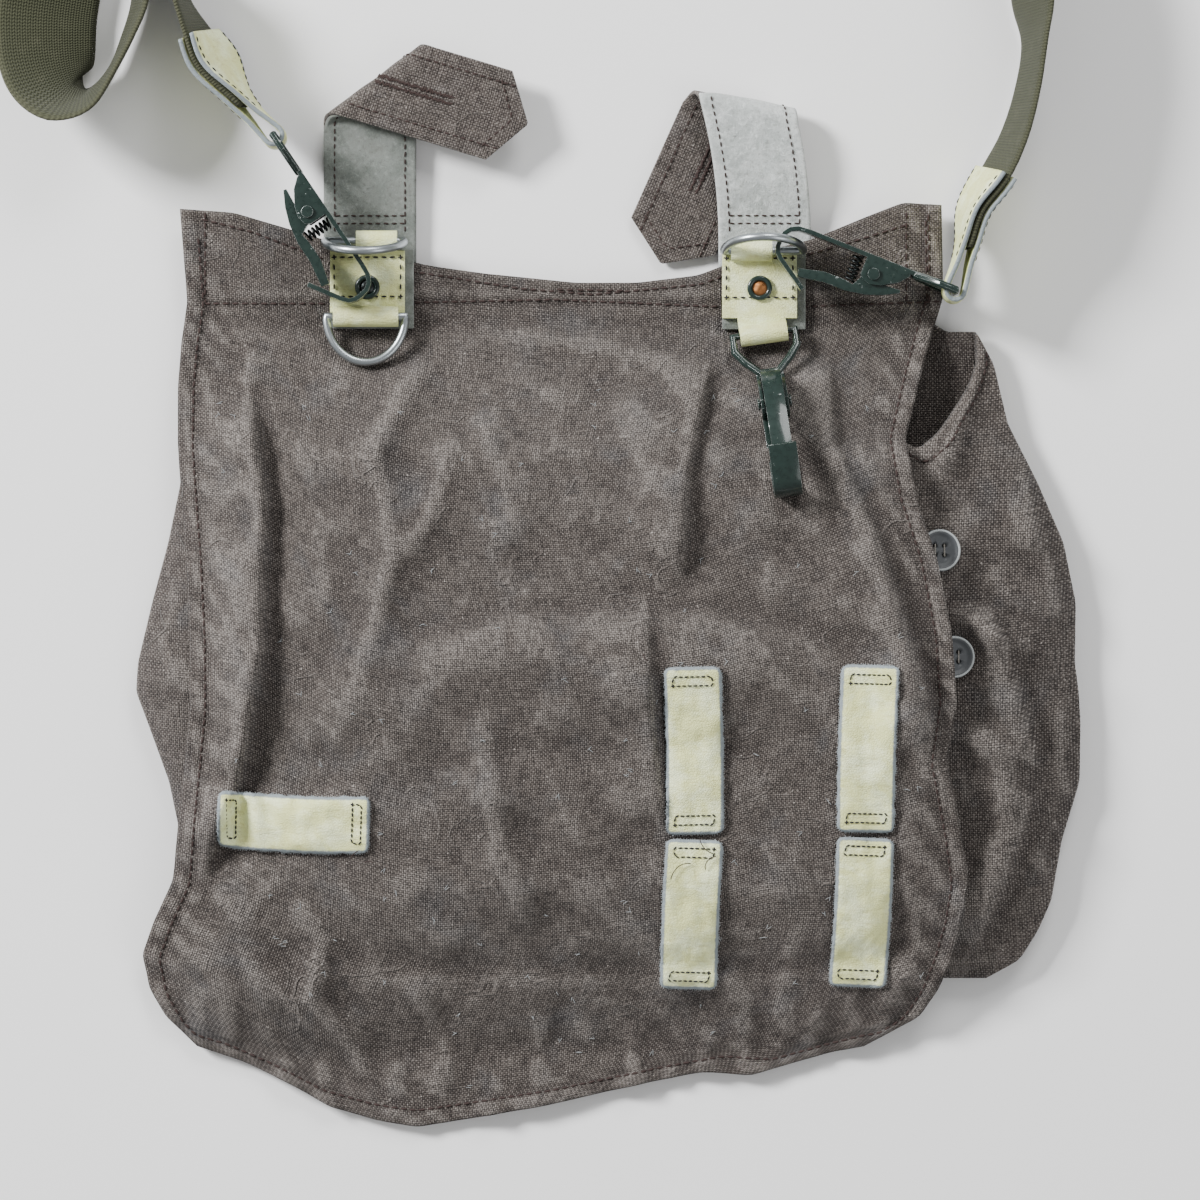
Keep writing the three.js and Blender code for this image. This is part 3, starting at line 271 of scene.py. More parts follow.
class Finish:
    # a material under construction: every node but the maths comes from node()
    def __init__(self, name, **shader):
        self.material = bpy.data.materials.new(name)
        self.material.use_nodes = True
        self.tree = self.material.node_tree
        self.shader = self.tree.nodes["Principled BSDF"]
        for key, value in shader.items():
            self.shader.inputs[key.replace("_", " ")].default_value = value

    def node(self, kind, settings, inputs, output=0):
        made = self.tree.nodes.new(kind)
        for key, value in settings.items():
            setattr(made, key, value)
        for key, value in inputs.items():
            target = made.inputs[key]
            if isinstance(value, Signal):
                self.tree.links.new(value.socket, target)
            else:
                target.default_value = value
        return Signal(self, made.outputs[output])

    def blend(self, a, b, share):
        # from colour a to colour b by a share; the first sockets of the node are for other kinds of mixes
        a, b = ((*colour, 1) if isinstance(colour, tuple) else colour for colour in (a, b))
        return self.node("ShaderNodeMix", {"data_type": "RGBA"}, {"Factor": share, 6: a, 7: b}, 2)

    def layered(self, looks, *layers):
        # the base colour under layers of other looks, each with its share
        colour = looks["base"]
        for look, share in layers:
            colour = self.blend(colour, looks[look], share)
        return colour

    def stretched(self, where, scale):
        return self.node("ShaderNodeMapping", {}, {"Vector": where, "Scale": scale})

    def place(self, scale=100, kind="Object"):
        return self.stretched(self.node("ShaderNodeTexCoord", {}, {}, kind), (scale, scale, scale))

    def noise(self, where, scale, detail=4.0, rough=0.55, distort=0.0):
        return self.node("ShaderNodeTexNoise", {}, {
            "Vector": where, "Scale": scale, "Detail": detail, "Roughness": rough, "Distortion": distort,
        })

    def stored(self, name):
        # a value kept with the points of the mesh
        return self.node("ShaderNodeAttribute", {"attribute_name": name}, {}, "Fac")

    def feed(self, colour, rough, height, strength, distance, metal=None, coat=None):
        bump = self.node("ShaderNodeBump", {}, {"Height": height, "Strength": strength, "Distance": distance})
        for value, key in (
            (colour, "Base Color"), (rough, "Roughness"), (metal, "Metallic"), (coat, "Coat Weight"),
            (bump, "Normal"),
        ):
            if value is not None:
                self.tree.links.new(value.socket, self.shader.inputs[key])
        return self.material


def weaveHeight(kit, where, pitch):
    # plain weave: warp and weft threads that take turns on top; where is in centimetres
    split = kit.node("ShaderNodeSeparateXYZ", {}, {"Vector": where})
    other = Signal(kit, split.socket.node.outputs[1])
    turns = 2 * math.pi / pitch
    u = (split * turns).maths("SINE")
    v = (other * turns).maths("SINE")
    threadU = (split * (turns * 2)).maths("COSINE")
    threadV = (other * (turns * 2)).maths("COSINE")
    over = u * v
    height = (0.5 - threadU * 0.5) * (over * 0.5 + 0.5) + (0.5 - threadV * 0.5) * (0.5 - over * 0.5)
    return height, over * 0.5 + 0.5


clothLooks = {
    "base": (0.096, 0.081, 0.072),
    # gap and crown: painted shade between the threads and painted highlight on their tops
    "gap": (0.014, 0.0108, 0.01),
    "crown": (0.33, 0.3, 0.275),
    # colour of the painted shade in hollows, also used for darker clouds of the cloth's own tone
    "shadeAndDarkTone": (0.046, 0.036, 0.032),
    "worn": (0.2, 0.178, 0.162),
    "fleck": (0.5, 0.46, 0.42),
    "stain": (0.085, 0.095, 0.108),
    "pitch": 0.165,
}


def canvasFinish(name, looks):
    # woven cloth with slubs, stains, worn ridges, fine creases and pale flecks, painted shade in its hollows
    # and between its threads, and a painted highlight on the thread crowns
    kit = Finish(name, Specular_IOR_Level=0.12, Sheen_Weight=0.12, Sheen_Roughness=0.6)
    where = kit.place(1, "UV")
    warped = kit.node("ShaderNodeVectorMath", {"operation": "ADD"}, {
        0: where,
        1: kit.node("ShaderNodeVectorMath", {"operation": "SCALE"}, {
            0: kit.node("ShaderNodeTexNoise", {}, {"Vector": where, "Scale": 1.7, "Detail": 2.0}, "Color"),
            "Scale": 0.09,
        }),
    })
    weave, pale = weaveHeight(kit, warped, looks["pitch"])
    slub = kit.noise(kit.stretched(warped, (1.1, 11.0, 1.0)), 1.5, 3.0, 0.6)
    slubAcross = kit.noise(kit.stretched(warped, (11.0, 1.1, 1.0)), 1.5, 3.0, 0.6)
    threads = slub + slubAcross - 1.0
    cloud = kit.noise(where, 0.16, 4.0, 0.6)
    mottle = kit.noise(where, 0.9, 6.0, 0.62)
    grain = kit.noise(where, 16.0, 2.0, 0.6)
    ridge = kit.stored("ridge")
    ridgeUp = (ridge + (mottle - 0.5) * 0.22).above(0.05, 0.9)
    # painted shade: darker where the cloth bends into a hollow, and on the inside of the pouch
    hollowShade = (ridge * -1.0 + (mottle - 0.5) * 0.3).above(0.05, 0.9)
    # the weave's height, high on thread crowns and low in gaps, sets painted highlight and shade; slubs and
    # grain add the cloth's own tone
    threadLightAndTone = (weave * 0.5 + pale * 0.45 + threads * 1.2 + (grain - 0.5) * 0.6).clamp()
    offLine = (kit.noise(where, 0.62, 2.5, 0.45, 0.5) - 0.5).maths("ABSOLUTE")
    crease = (1 - offLine.above(0.0, 0.022)) * kit.noise(where, 0.3, 2.0).above(0.5, 0.14)
    fleck = kit.node("ShaderNodeTexVoronoi", {}, {"Vector": warped, "Scale": 3.4, "Randomness": 1.0})
    colour = kit.layered(
        looks, ("worn", (mottle.above(0.4, 0.5) * 0.12 + ridgeUp * 0.46).clamp()),
        # painted shade in the hollows, with darker clouds of the cloth's own tone
        ("shadeAndDarkTone", (hollowShade * 0.55 + cloud.above(0.45, 0.5) * 0.28).clamp()),
        ("stain", kit.noise(where, 0.42, 4.0, 0.6, 0.4).above(0.5, 0.3) * 0.45),
        # painted shade between the threads
        ("gap", (1 - threadLightAndTone).above(0.42, 0.5) * 0.85),
        # painted highlight on the thread crowns, brighter on ridges
        ("crown", threadLightAndTone.above(0.52, 0.42) * (0.5 + ridgeUp * 0.3)),
        ("worn", crease * 0.3),
        ("fleck", (1 - fleck.above(0.04, 0.1)) * threads.above(-0.02, 0.1) * 0.8),
    )
    height = weave * 0.7 + slub * 0.5 + slubAcross * 0.5 + grain * 0.3 + crease * 1.4
    rough = 0.97 - ridgeUp * 0.1
    return kit.feed(colour, rough, height, 0.9, 0.0006)


leatherLooks = {
    "base": (0.78, 0.81, 0.38),
    "pale": (0.9, 0.97, 0.62),
    "stained": (0.5, 0.46, 0.19),
    "edge": (0.27, 0.31, 0.33),
}
suedeLooks = {
    "grey": {"base": (0.15, 0.168, 0.152), "pale": (0.3, 0.32, 0.3), "stained": (0.075, 0.072, 0.058)},
    "pale": {"base": (0.43, 0.46, 0.45), "pale": (0.85, 0.88, 0.87), "stained": (0.16, 0.16, 0.14)},
}


def leatherFinish(name, looks):
    # cracked, stained leather with a grey cut edge
    kit = Finish(name, Specular_IOR_Level=0.35)
    where = kit.place()
    cells = kit.node("ShaderNodeTexVoronoi", {"feature": "DISTANCE_TO_EDGE"}, {
        "Vector": where, "Scale": 11.0,
    })
    cloud = kit.noise(where, 0.9, 5.0, 0.65, 0.3)
    fine = kit.noise(where, 7.0, 5.0, 0.7)
    crease = kit.noise(kit.stretched(where, (0.6, 2.6, 1.0)), 3.2, 5.0, 0.6)
    edge = kit.stored("edge")
    colour = kit.layered(
        looks, ("pale", cloud.above(0.4, 0.25)),
        ("stained", (1 - crease).above(0.52, 0.16) * 0.35),
        ("stained", kit.noise(where, 1.7, 6.0, 0.75, 0.8).above(0.55, 0.2) * 0.5),
        ("stained", (1 - cells.above(0.0, 0.06)) * 0.25),
        ("edge", (edge + (fine - 0.5) * 0.7).above(0.32, 0.4)),
    )
    height = cells.above(0.0, 0.2) * 0.35 + crease * 0.9 + fine * 0.4
    rough = 0.62 + (fine - 0.5) * 0.3 + edge * 0.3
    return kit.feed(colour, rough, height, 0.6, 0.0006)


def suedeFinish(name, looks):
    # rough suede with a worn nap and darker stains
    kit = Finish(name, Specular_IOR_Level=0.1, Sheen_Weight=0.25, Sheen_Roughness=0.5)
    where = kit.place()
    nap = kit.noise(where, 6.5, 6.0, 0.8)
    streak = kit.noise(kit.stretched(where, (3.5, 0.8, 1.0)), 4.0, 4.0, 0.7)
    cloud = kit.noise(where, 0.8, 5.0, 0.7, 0.5)
    tuft = kit.noise(where, 2.6, 8.0, 0.85, 0.6)
    worn = kit.stored("edge")
    colour = kit.layered(
        looks, ("pale", (cloud.above(0.4, 0.3) * 0.6).clamp()),
        ("stained", cloud.above(0.55, 0.25) * 0.5 + streak.above(0.6, 0.2) * 0.35),
        ("pale", (nap.above(0.53, 0.16) * 0.65 + worn * 0.3).clamp()),
        ("stained", (1 - nap).above(0.53, 0.12) * 0.45),
        ("pale", tuft.above(0.52, 0.1) * 0.55),
        ("stained", (1 - tuft).above(0.54, 0.12) * 0.3),
    )
    return kit.feed(colour, 0.96 - nap * 0.05, nap * 0.6 + streak * 0.3 + tuft * 0.8, 0.9, 0.0008)


# crown: painted highlight on the ribs' tops
webbingLooks = {"base": (0.016, 0.018, 0.01), "crown": (0.068, 0.072, 0.042), "worn": (0.1, 0.1, 0.065)}
paintLooks = {
    "paint": ((0.006, 0.013, 0.011), (0.02, 0.038, 0.032)),
    # bare: chipped steel, also the painted highlight along edges
    "bare": ((0.32, 0.35, 0.34), (0.62, 0.66, 0.65)),
}
steelLooks = {
    "zinc": (0.44, 0.48, 0.5), "black": (0.03, 0.034, 0.034),
    "dull": (0.3, 0.3, 0.29), "rust": (0.2, 0.17, 0.13),
}


def webbingFinish(name, looks):
    # zigzag ribs crossed by fine cords, with a painted highlight on their crowns
    kit = Finish(name, Specular_IOR_Level=0.15, Sheen_Weight=0.1)
    where = kit.place(1, "UV")
    split = kit.node("ShaderNodeSeparateXYZ", {}, {"Vector": where})
    along = Signal(kit, split.socket.node.outputs[1])
    zigzag = (split * 5.2).maths("PINGPONG", 0.5)
    rib = (along * 58.0 + zigzag * 5.2).maths("SINE") * 0.5 + 0.5
    cord = (split * 65.0).maths("SINE") * 0.5 + 0.5
    cloud = kit.noise(where, 1.2, 5.0, 0.65)
    fuzz = kit.noise(where, 18.0, 3.0, 0.7)
    threadLightAndTone = (rib * 0.5 + cord * 0.3 + fuzz * 0.3).clamp()
    worn = cloud.above(0.5, 0.3) * 0.35 + kit.stored("edge") * 0.25
    # painted highlight on the ribs' and cords' crowns, with the fuzz's own tone
    colour = kit.layered(looks, ("crown", threadLightAndTone), ("worn", worn))
    return kit.feed(colour, 0.93 - cloud * 0.05, rib * 0.7 + cord * 0.5 + fuzz * 0.3, 0.7, 0.0005)


def paintFinish(name, looks):
    # glossy paint chipped down to steel, mostly at its edges, where the bare steel also serves as a painted
    # highlight
    kit = Finish(name, Coat_Roughness=0.1, Specular_IOR_Level=0.25)
    where = kit.place()
    scratch = kit.noise(kit.stretched(where, (1.0, 5.0, 1.6)), 3.4, 7.0, 0.75, 0.4)
    chips = kit.noise(where, 3.1, 7.0, 0.72, 0.2)
    edgeWearAndHighlight = kit.stored("edge")
    scuffed = kit.noise(where, 1.3, 3.0).above(0.5, 0.12)
    # bare steel: chips and scratches, and along the edges also a painted highlight
    bare = (edgeWearAndHighlight * 0.4 + scuffed * 0.1 + (chips - 0.5) * 1.3 + (scratch - 0.5) * 0.7).above(0.25, 0.03)
    tone = kit.noise(where, 5.0, 3.0)
    colour = kit.blend(kit.blend(*looks["paint"], tone), kit.blend(*looks["bare"], scratch), bare)
    rough = 0.24 + bare * 0.18 + tone * 0.08
    height = (1 - bare) * 0.6 + tone * 0.08
    return kit.feed(colour, rough, height, 0.35, 0.00015, bare * 0.9, (1 - bare) * 0.6)


def steelFinish(name, looks, tone):
    # brushed metal, dull in places, with rust pits
    kit = Finish(name, Specular_IOR_Level=0.5)
    where = kit.place()
    cloud = kit.noise(where, 2.2, 6.0, 0.7)
    pit = kit.noise(where, 11.0, 4.0, 0.7)
    line = kit.noise(kit.stretched(where, (8.0, 1.0, 8.0)), 5.0, 3.0)
    colour = kit.blend(tone, looks["dull"], cloud.above(0.52, 0.3) * 0.6)
    colour = kit.blend(colour, looks["rust"], pit.above(0.66, 0.08) * 0.5)
    rough = 0.24 + cloud * 0.2 + pit.above(0.6, 0.2) * 0.25
    return kit.feed(colour, rough, pit * 0.4 + line * 0.4, 0.25, 0.0001, 1 - pit.above(0.68, 0.06) * 0.6)


def plainFinish(name, low, high, rough, scale, metal=0.0):
    # one colour, cloudy towards another
    kit = Finish(name, Metallic=metal)
    cloud = kit.noise(kit.place(), scale, 5.0, 0.65)
    return kit.feed(kit.blend(low, high, cloud), rough + cloud * 0.15, cloud, 0.4, 0.0002)


finishes = {
    "canvas": canvasFinish("wornCanvas", clothLooks),
    "leather": leatherFinish("creamLeather", leatherLooks),
    "suede": suedeFinish("greySuede", suedeLooks["grey"]),
    "paleSuede": suedeFinish("paleSuede", suedeLooks["pale"]),
    "webbing": webbingFinish("oliveWebbing", webbingLooks),
    "green_paint": paintFinish("chippedGreenPaint", paintLooks),
    "steel": steelFinish("zincedSteel", steelLooks, steelLooks["zinc"]),
    # also dresses the left rivet head, as painted shadow
    "spring": steelFinish("blackenedSpringAndRivetShade", steelLooks, steelLooks["black"]),
    "button": plainFinish("greyButton", (0.05, 0.056, 0.062), (0.085, 0.09, 0.096), 0.42, 5.0),
    "buttonRim": plainFinish("paleButtonRim", (0.3, 0.33, 0.34), (0.48, 0.5, 0.5), 0.4, 9.0),
    "brownThread": plainFinish("brownThread", (0.018, 0.01, 0.009), (0.05, 0.028, 0.024), 0.8, 20.0),
    "blackThread": plainFinish("blackThread", (0.008, 0.008, 0.01), (0.022, 0.02, 0.022), 0.75, 20.0),
    "greyThread": plainFinish("greyThread", (0.2, 0.19, 0.17), (0.32, 0.3, 0.27), 0.85, 20.0),
    "fray": plainFinish("paleFray", (0.24, 0.26, 0.27), (0.42, 0.44, 0.45), 0.9, 20.0),
    "copper": plainFinish("copperRivet", (0.2, 0.07, 0.02), (0.5, 0.24, 0.1), 0.42, 4.0, 1.0),
}
print("finishes ready")


def dress(piece, body, slotName, finish, *nodes):
    # material and body of a piece, and the solids it takes the place of; its slot name is not used
    piece.data.materials.clear()
    piece.data.materials.append(finishes[finish])
    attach(piece, body)
    if nodes:
        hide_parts(*nodes)
    return piece


def stitchTree():
    # stitches along the modifier's own curves, each a small mesh laid along the line
    tree = bpy.data.node_groups.new("stitchRow", "GeometryNodeTree")
    face = tree.interface
    face.new_socket("Geometry", in_out="INPUT", socket_type="NodeSocketGeometry")
    names = {}
    for name, kind, value in (
        ("pitch", "NodeSocketFloat", 0.003), ("length", "NodeSocketFloat", 0.0022),
        ("radius", "NodeSocketFloat", 0.0004), ("lean", "NodeSocketFloat", 0.12),
        ("seed", "NodeSocketInt", 3), ("thread", "NodeSocketMaterial", None),
    ):
        socket = face.new_socket(name, in_out="INPUT", socket_type=kind)
        if value is not None:
            socket.default_value = value
        names[name] = socket.identifier
    face.new_socket("Geometry", in_out="OUTPUT", socket_type="NodeSocketGeometry")

    def node(kind, inputs=None, **settings):
        made = tree.nodes.new(kind)
        for key, value in settings.items():
            setattr(made, key, value)
        for key, value in (inputs or {}).items():
            if isinstance(value, bpy.types.NodeSocket):
                tree.links.new(value, made.inputs[key])
            else:
                made.inputs[key].default_value = value
        return made

    start = node("NodeGroupInput")
    marks = node("GeometryNodeResampleCurve", {"Curve": start.outputs["Geometry"]}, mode="LENGTH")
    tree.links.new(start.outputs["pitch"], marks.inputs["Length"])
    dot = node("GeometryNodeMeshUVSphere", {"Segments": 8, "Rings": 5, "Radius": 1.0})
    tangent = node("GeometryNodeInputTangent")
    turn = node("FunctionNodeAlignRotationToVector", {"Vector": tangent.outputs["Tangent"]}, axis="X")
    sway = node("FunctionNodeRandomValue", {"Seed": start.outputs["seed"]}, data_type="FLOAT")
    least = node("ShaderNodeMath", {0: start.outputs["lean"], 1: -1.0}, operation="MULTIPLY")
    tree.links.new(least.outputs[0], sway.inputs[2])
    tree.links.new(start.outputs["lean"], sway.inputs[3])
    euler = node("ShaderNodeCombineXYZ", {"Z": sway.outputs[1]})
    leaned = node("FunctionNodeRotateRotation", {"Rotation": turn.outputs[0]}, rotation_space="LOCAL")
    tree.links.new(euler.outputs[0], leaned.inputs["Rotate By"])
    halved = node("ShaderNodeMath", {0: start.outputs["length"], 1: 0.5}, operation="MULTIPLY")
    size = node("ShaderNodeCombineXYZ", {
        "X": halved.outputs[0], "Y": start.outputs["radius"], "Z": start.outputs["radius"],
    })
    points = node("GeometryNodeInstanceOnPoints", {
        "Points": marks.outputs["Curve"], "Instance": dot.outputs["Mesh"],
        "Rotation": leaned.outputs[0], "Scale": size.outputs[0],
    })
    real = node("GeometryNodeRealizeInstances", {"Geometry": points.outputs["Instances"]})
    painted = node("GeometryNodeSetMaterial", {
        "Geometry": real.outputs[0], "Material": start.outputs["thread"],
    })
    end = node("NodeGroupOutput")
    tree.links.new(painted.outputs[0], end.inputs["Geometry"])
    return tree, names


stitchRows, stitchInputs = stitchTree()


def sew(name, slotName, finish, lines, pitch, length, radius, lean=0.12):
    # one mesh of stitches along several lines of points in millimetres
    curve = bpy.data.curves.new(name, "CURVE")
    curve.dimensions = "3D"
    for line in lines:
        line = spread(line, 1.0)
        spline = curve.splines.new("POLY")
        spline.points.add(len(line) - 1)
        for point, place in zip(spline.points, line):
            point.co = (*(place * mm), 1)
    guide = bpy.data.objects.new(name + "Guide", curve)
    bpy.context.scene.collection.objects.link(guide)
    modifier = guide.modifiers.new("stitches", "NODES")
    modifier.node_group = stitchRows
    settings = {
        "pitch": pitch * mm, "length": length * mm, "radius": radius * mm,
        "lean": lean, "thread": finishes[finish],
    }
    for key, value in settings.items():
        modifier[stitchInputs[key]] = value
    mesh = bpy.data.meshes.new_from_object(guide.evaluated_get(bpy.context.evaluated_depsgraph_get()))
    mesh.name = name
    bpy.data.objects.remove(guide)
    return dress(placed(name, mesh), "root", slotName, finish)


# pouch and flap: the shared shape of the filled bag
bag = {
    "canvas": 1.6, "clearance": 0.3, "play": 0.8,
    "pouchWidth": 342, "panelLength": 278, "panelReach": 155.5, "pouchCentre": 3,
    "thickness": 34, "seam": 6, "headerLift": 3.2, "headerEnd": 0.21,
    "flapWidth": 297, "flapLength": 334, "flapReach": 157.3, "flapCentre": -16,
    "drapeReach": 27, "drapeRise": 12.7, "hemLift": 5, "mouthHem": 5, "buttonCalm": 12,
}
outlineDowns = [0, .123, .151, .2, .278, .356, .433, .511, .589, .627, .666, .744, .821, .899, .938, .977, 1]
pouchLeft = smoothTable(outlineDowns, [
    -.448, -.443, -.446, -.45, -.45, -.453, -.466, -.483, -.498, -.5, -.488, -.465, -.452, -.454, -.45,
    -.435, -.41,
], 0.012)
pouchRight = smoothTable(outlineDowns, [
    .349, .352, .386, .408, .423, .455, .482, .495, .494, .498, .5, .499, .48, .469, .455, .435, .4,
], 0.012)
pouchFill = smoothTable(
    [.15, .19, .256, .317, .407, .537, .77, .873, .938, .977, 1],
    [.14, .24, .54, .78, .93, 1, .97, .85, .66, .44, .18], 0.02,
)
frontHem = smoothTable([-1, .3, .62, .74, .84, .94, 1], [.175, .185, .21, .318, .285, .225, .165], 0.025)
buttonPlaces = {"upper": (0.463, 0.375), "lower": (0.48, 0.489)}
flapShares = [0, .07, .14, .2, .27, .33, .4, .52, .6, .68, .76, .83, .9, .95, 1]
flapTop = smoothTable(
    flapShares,
    [.004, .008, .025, .04, .055, .066, .074, .084, .084, .076, .051, .037, .013, -.003, 0], 0.015,
)
flapBottom = smoothTable(
    flapShares, [.912, .929, .953, .978, .993, 1, .992, .977, .964, .951, .94, .944, .929, .919, .912], 0.02,
)
sideDowns = [0, .11, .16, .21, .28, .35, .42, .51, .59, .66, .74, .8, .85, .89, .93, .965, 1]
flapLeft = smoothTable(sideDowns, [
    -.458, -.449, -.456, -.46, -.46, -.455, -.449, -.444, -.443, -.45, -.458, -.465, -.489, -.504, -.496,
    -.475, -.438,
], 0.012)
flapRight = smoothTable(sideDowns, [
    .47, .472, .456, .442, .424, .436, .46, .478, .484, .473, .49, .5, .493, .482, .466, .442, .376,
], 0.012)


def pouchEdges(down):
    # left and right edge at a share down the panel
    return (bag["pouchCentre"] + bag["pouchWidth"] * pouchLeft(down),
            bag["pouchCentre"] + bag["pouchWidth"] * pouchRight(down))


def sideShare(x, down):
    # -1 at the pouch's left edge, 1 at its right edge
    left, right = pouchEdges(down)
    return (2 * x - left - right) / (right - left)


def frontHeight(side, down):
    # the filled front: flat at its seams, full in the middle
    crown = bag["thickness"] * pouchFill(down)
    seam = np.minimum(bag["seam"], crown)
    return seam + (crown - seam) * (1 - np.minimum(np.abs(side), 1) ** 3) ** 0.8


def panelHeight(down):
    # the panel's header lies a little higher than the rest
    return bag["headerLift"] * (1 - ease(bag["headerEnd"] - 0.05, bag["headerEnd"], down))


def fold(width, rise, *line, step=0, fade=0.25):
    # a drawn fold along pixels of the photograph
    return {"width": width, "rise": rise, "line": line, "step": step, "fade": fade}


flapFolds = [
    fold(18, 12, (248, 368), (268, 500), (266, 650), (243, 780), (198, 900), step=5, fade=0.15),
    fold(22, 7.5, (718, 338), (690, 470), (682, 600), step=5, fade=0.22),
    fold(20, 5.8, (646, 580), (655, 720), (670, 850), step=5, fade=0.22),
    fold(22, 8.1, (834, 325), (834, 443), (872, 530), (897, 606), (925, 690), (940, 800), step=4,
         fade=0.18),
    fold(9, 5.2, (440, 335), (400, 400), (375, 450), (395, 555), (370, 650), (325, 780)),
    fold(7, 3.8, (458, 425), (430, 520), (398, 562)),
    fold(9, 3.8, (480, 680), (500, 850), (533, 935)),
    fold(7, 4.5, (290, 885), (322, 940), (312, 1000), (375, 1085)),
    fold(5, 2.8, (255, 345), (246, 390)),
    fold(9, 3.2, (440, 322), (600, 345), (712, 368)),
    fold(4, 2.0, (712, 380), (724, 352), (760, 330)),
    fold(9, 1.4, (300, 420), (322, 540), (330, 640)),
    fold(9, 1.2, (470, 400), (500, 470), (520, 560)),
    fold(9, 1.6, (560, 880), (640, 930), (700, 1030)),
    fold(8, 1.9, (400, 960), (440, 1040), (450, 1110)),
    fold(7, 2.0, (230, 930), (260, 980), (330, 1050)),
    fold(6, -2.0, (165, 925), (190, 990), (250, 1040)),
    fold(9, 1.5, (750, 380), (770, 520), (762, 640)),
    fold(5, 2.5, (930, 520), (962, 640), (950, 740)),
    fold(8, 1.2, (800, 900), (780, 1000), (800, 1060)),
    fold(8, 1.9, (900, 860), (920, 940), (890, 1010)),
    fold(10, 1.1, (600, 300), (640, 420), (632, 560)),
    fold(4, 1.0, (205, 215), (300, 258), (420, 292)),
    fold(5, -2.2, (190, 905), (215, 915), (240, 960)),
]
broad, middleWaves, crumple = Waves(70), Waves(26), Waves(11, 18)
pouchFolds = [
    fold(6, 7.2, (1000, 340), (972, 400), (930, 490), fade=0.2),
    fold(6, 6.4, (1018, 440), (1036, 520), (1028, 560)),
    fold(12, 9.4, (985, 590), (1015, 680), (1047, 785), step=3),
    fold(12, 8.7, (1045, 770), (1010, 870), (972, 965), step=3),
    fold(5, 5.2, (1068, 690), (1062, 760), (1075, 810)),
    fold(5, 4.9, (1030, 840), (1052, 880), (1046, 920)),
    fold(6, 5.2, (1000, 480), (1050, 560), (1066, 640)),
    fold(6, 4.9, (945, 600), (990, 640), (1040, 650)),
    fold(6, 5.2, (960, 720), (1000, 760), (1015, 830)),
    fold(6, 2.9, (180, 560), (160, 640), (185, 700)),
    fold(4, 2.6, (150, 690), (178, 670), (200, 700)),
    fold(5, -1.4, (150, 600), (170, 650), (150, 720)),
    fold(4, -1.6, (925, 470), (950, 430), (985, 350)),
]


def onFlapShare(side, down):
    # a place on the ground from shares of the flap's width and length
    across = bag["flapCentre"] + bag["flapWidth"] * side
    return np.array([across, bag["flapReach"] - bag["flapLength"] * down])


def pouchRelief(x, y, side, down):
    # creases of the front, calmer in its middle, under the flap and at the buttons
    relief = foldRelief(x, y, pouchFolds) + 0.5 * broad(x + 40, y) + 0.6 * middleWaves(x, y + 30)
    relief += 0.7 * crumple.ridged(x * 0.8 + 11, y * 0.8)
    relief *= (1 - np.minimum(np.abs(side), 1) ** 6) * ease(0.19, 0.3, down) * ease(0, 0.08, 1 - down)
    for shares in buttonPlaces.values():
        buttonX, buttonY = onFlapShare(*shares)
        relief *= 1 - np.exp(-(np.hypot(x - buttonX, y - buttonY) / bag["buttonCalm"]) ** 4)
    return relief * (ease(0.58, 0.75, np.abs(side)) * 0.9 + 0.1)


def flapUnderside(x, y, across):
    # height of what the flap lies on, the lift of its standing hem and the share down the panel
    down = (bag["panelReach"] - y) / bag["panelLength"]
    held = np.minimum(down, 1)
    side = sideShare(x, held)
    left, right = pouchEdges(held)
    past = np.maximum(left - x, x - right)
    below = bag["panelReach"] - bag["panelLength"] - y
    outside = np.where((past > 0) & (below > 0), np.hypot(past, below), np.maximum(past, below))
    slope = bag["drapeRise"] / bag["drapeReach"]
    drape = np.where(outside > 0, slope * (bag["drapeReach"] - outside), bag["drapeRise"] - 0.25 * outside)
    bridge = np.maximum(drape, 0) * ease(0.35, 0.6, down) + bag["clearance"]
    inside = (down < 1) & (past < 6) & (down > 0.15)
    front = frontHeight(side, down) + np.maximum(pouchRelief(x, y, side, held), 0)
    cloth = np.where(inside, front + bag["play"], 0)
    hem = bag["hemLift"] * ease(0.88, 0.94, across) * ease(0.28, 0.34, down) * ease(0, 0.2, 0.95 - down)
    panel = np.where((down < 1) & (past < 6), panelHeight(down) + bag["canvas"] + bag["clearance"], 0)
    return np.maximum(np.maximum(cloth, bridge), panel), hem * ease(0.14, 0.24, down), down


def softened(grid, times):
    # rounds the kinks of a height grid
    for _ in range(times):
        wide = np.pad(grid, 1, mode="edge")
        grid = (wide[:-2, 1:-1] + wide[2:, 1:-1] + wide[1:-1, :-2] + wide[1:-1, 2:] + 4 * grid) / 8
    return grid


def curvature(grid, step):
    # how a height grid bends: 1 on ridges, -1 in hollows
    smooth = softened(grid, 2)
    wide = np.pad(smooth, 1, mode="edge")
    bend = wide[:-2, 1:-1] + wide[2:, 1:-1] + wide[1:-1, :-2] + wide[1:-1, 2:] - 4 * smooth
    return np.clip(-softened(bend, 2) / step, -1, 1)


hem = {"width": 7.0, "rise": 0.9, "groove": 0.9, "pucker": 0.6, "headerPixel": 300}
flapSize = {"columns": 190, "rows": 214, "flatWidth": 0.31, "flatLength": 0.345, "flatArea": 0.092}


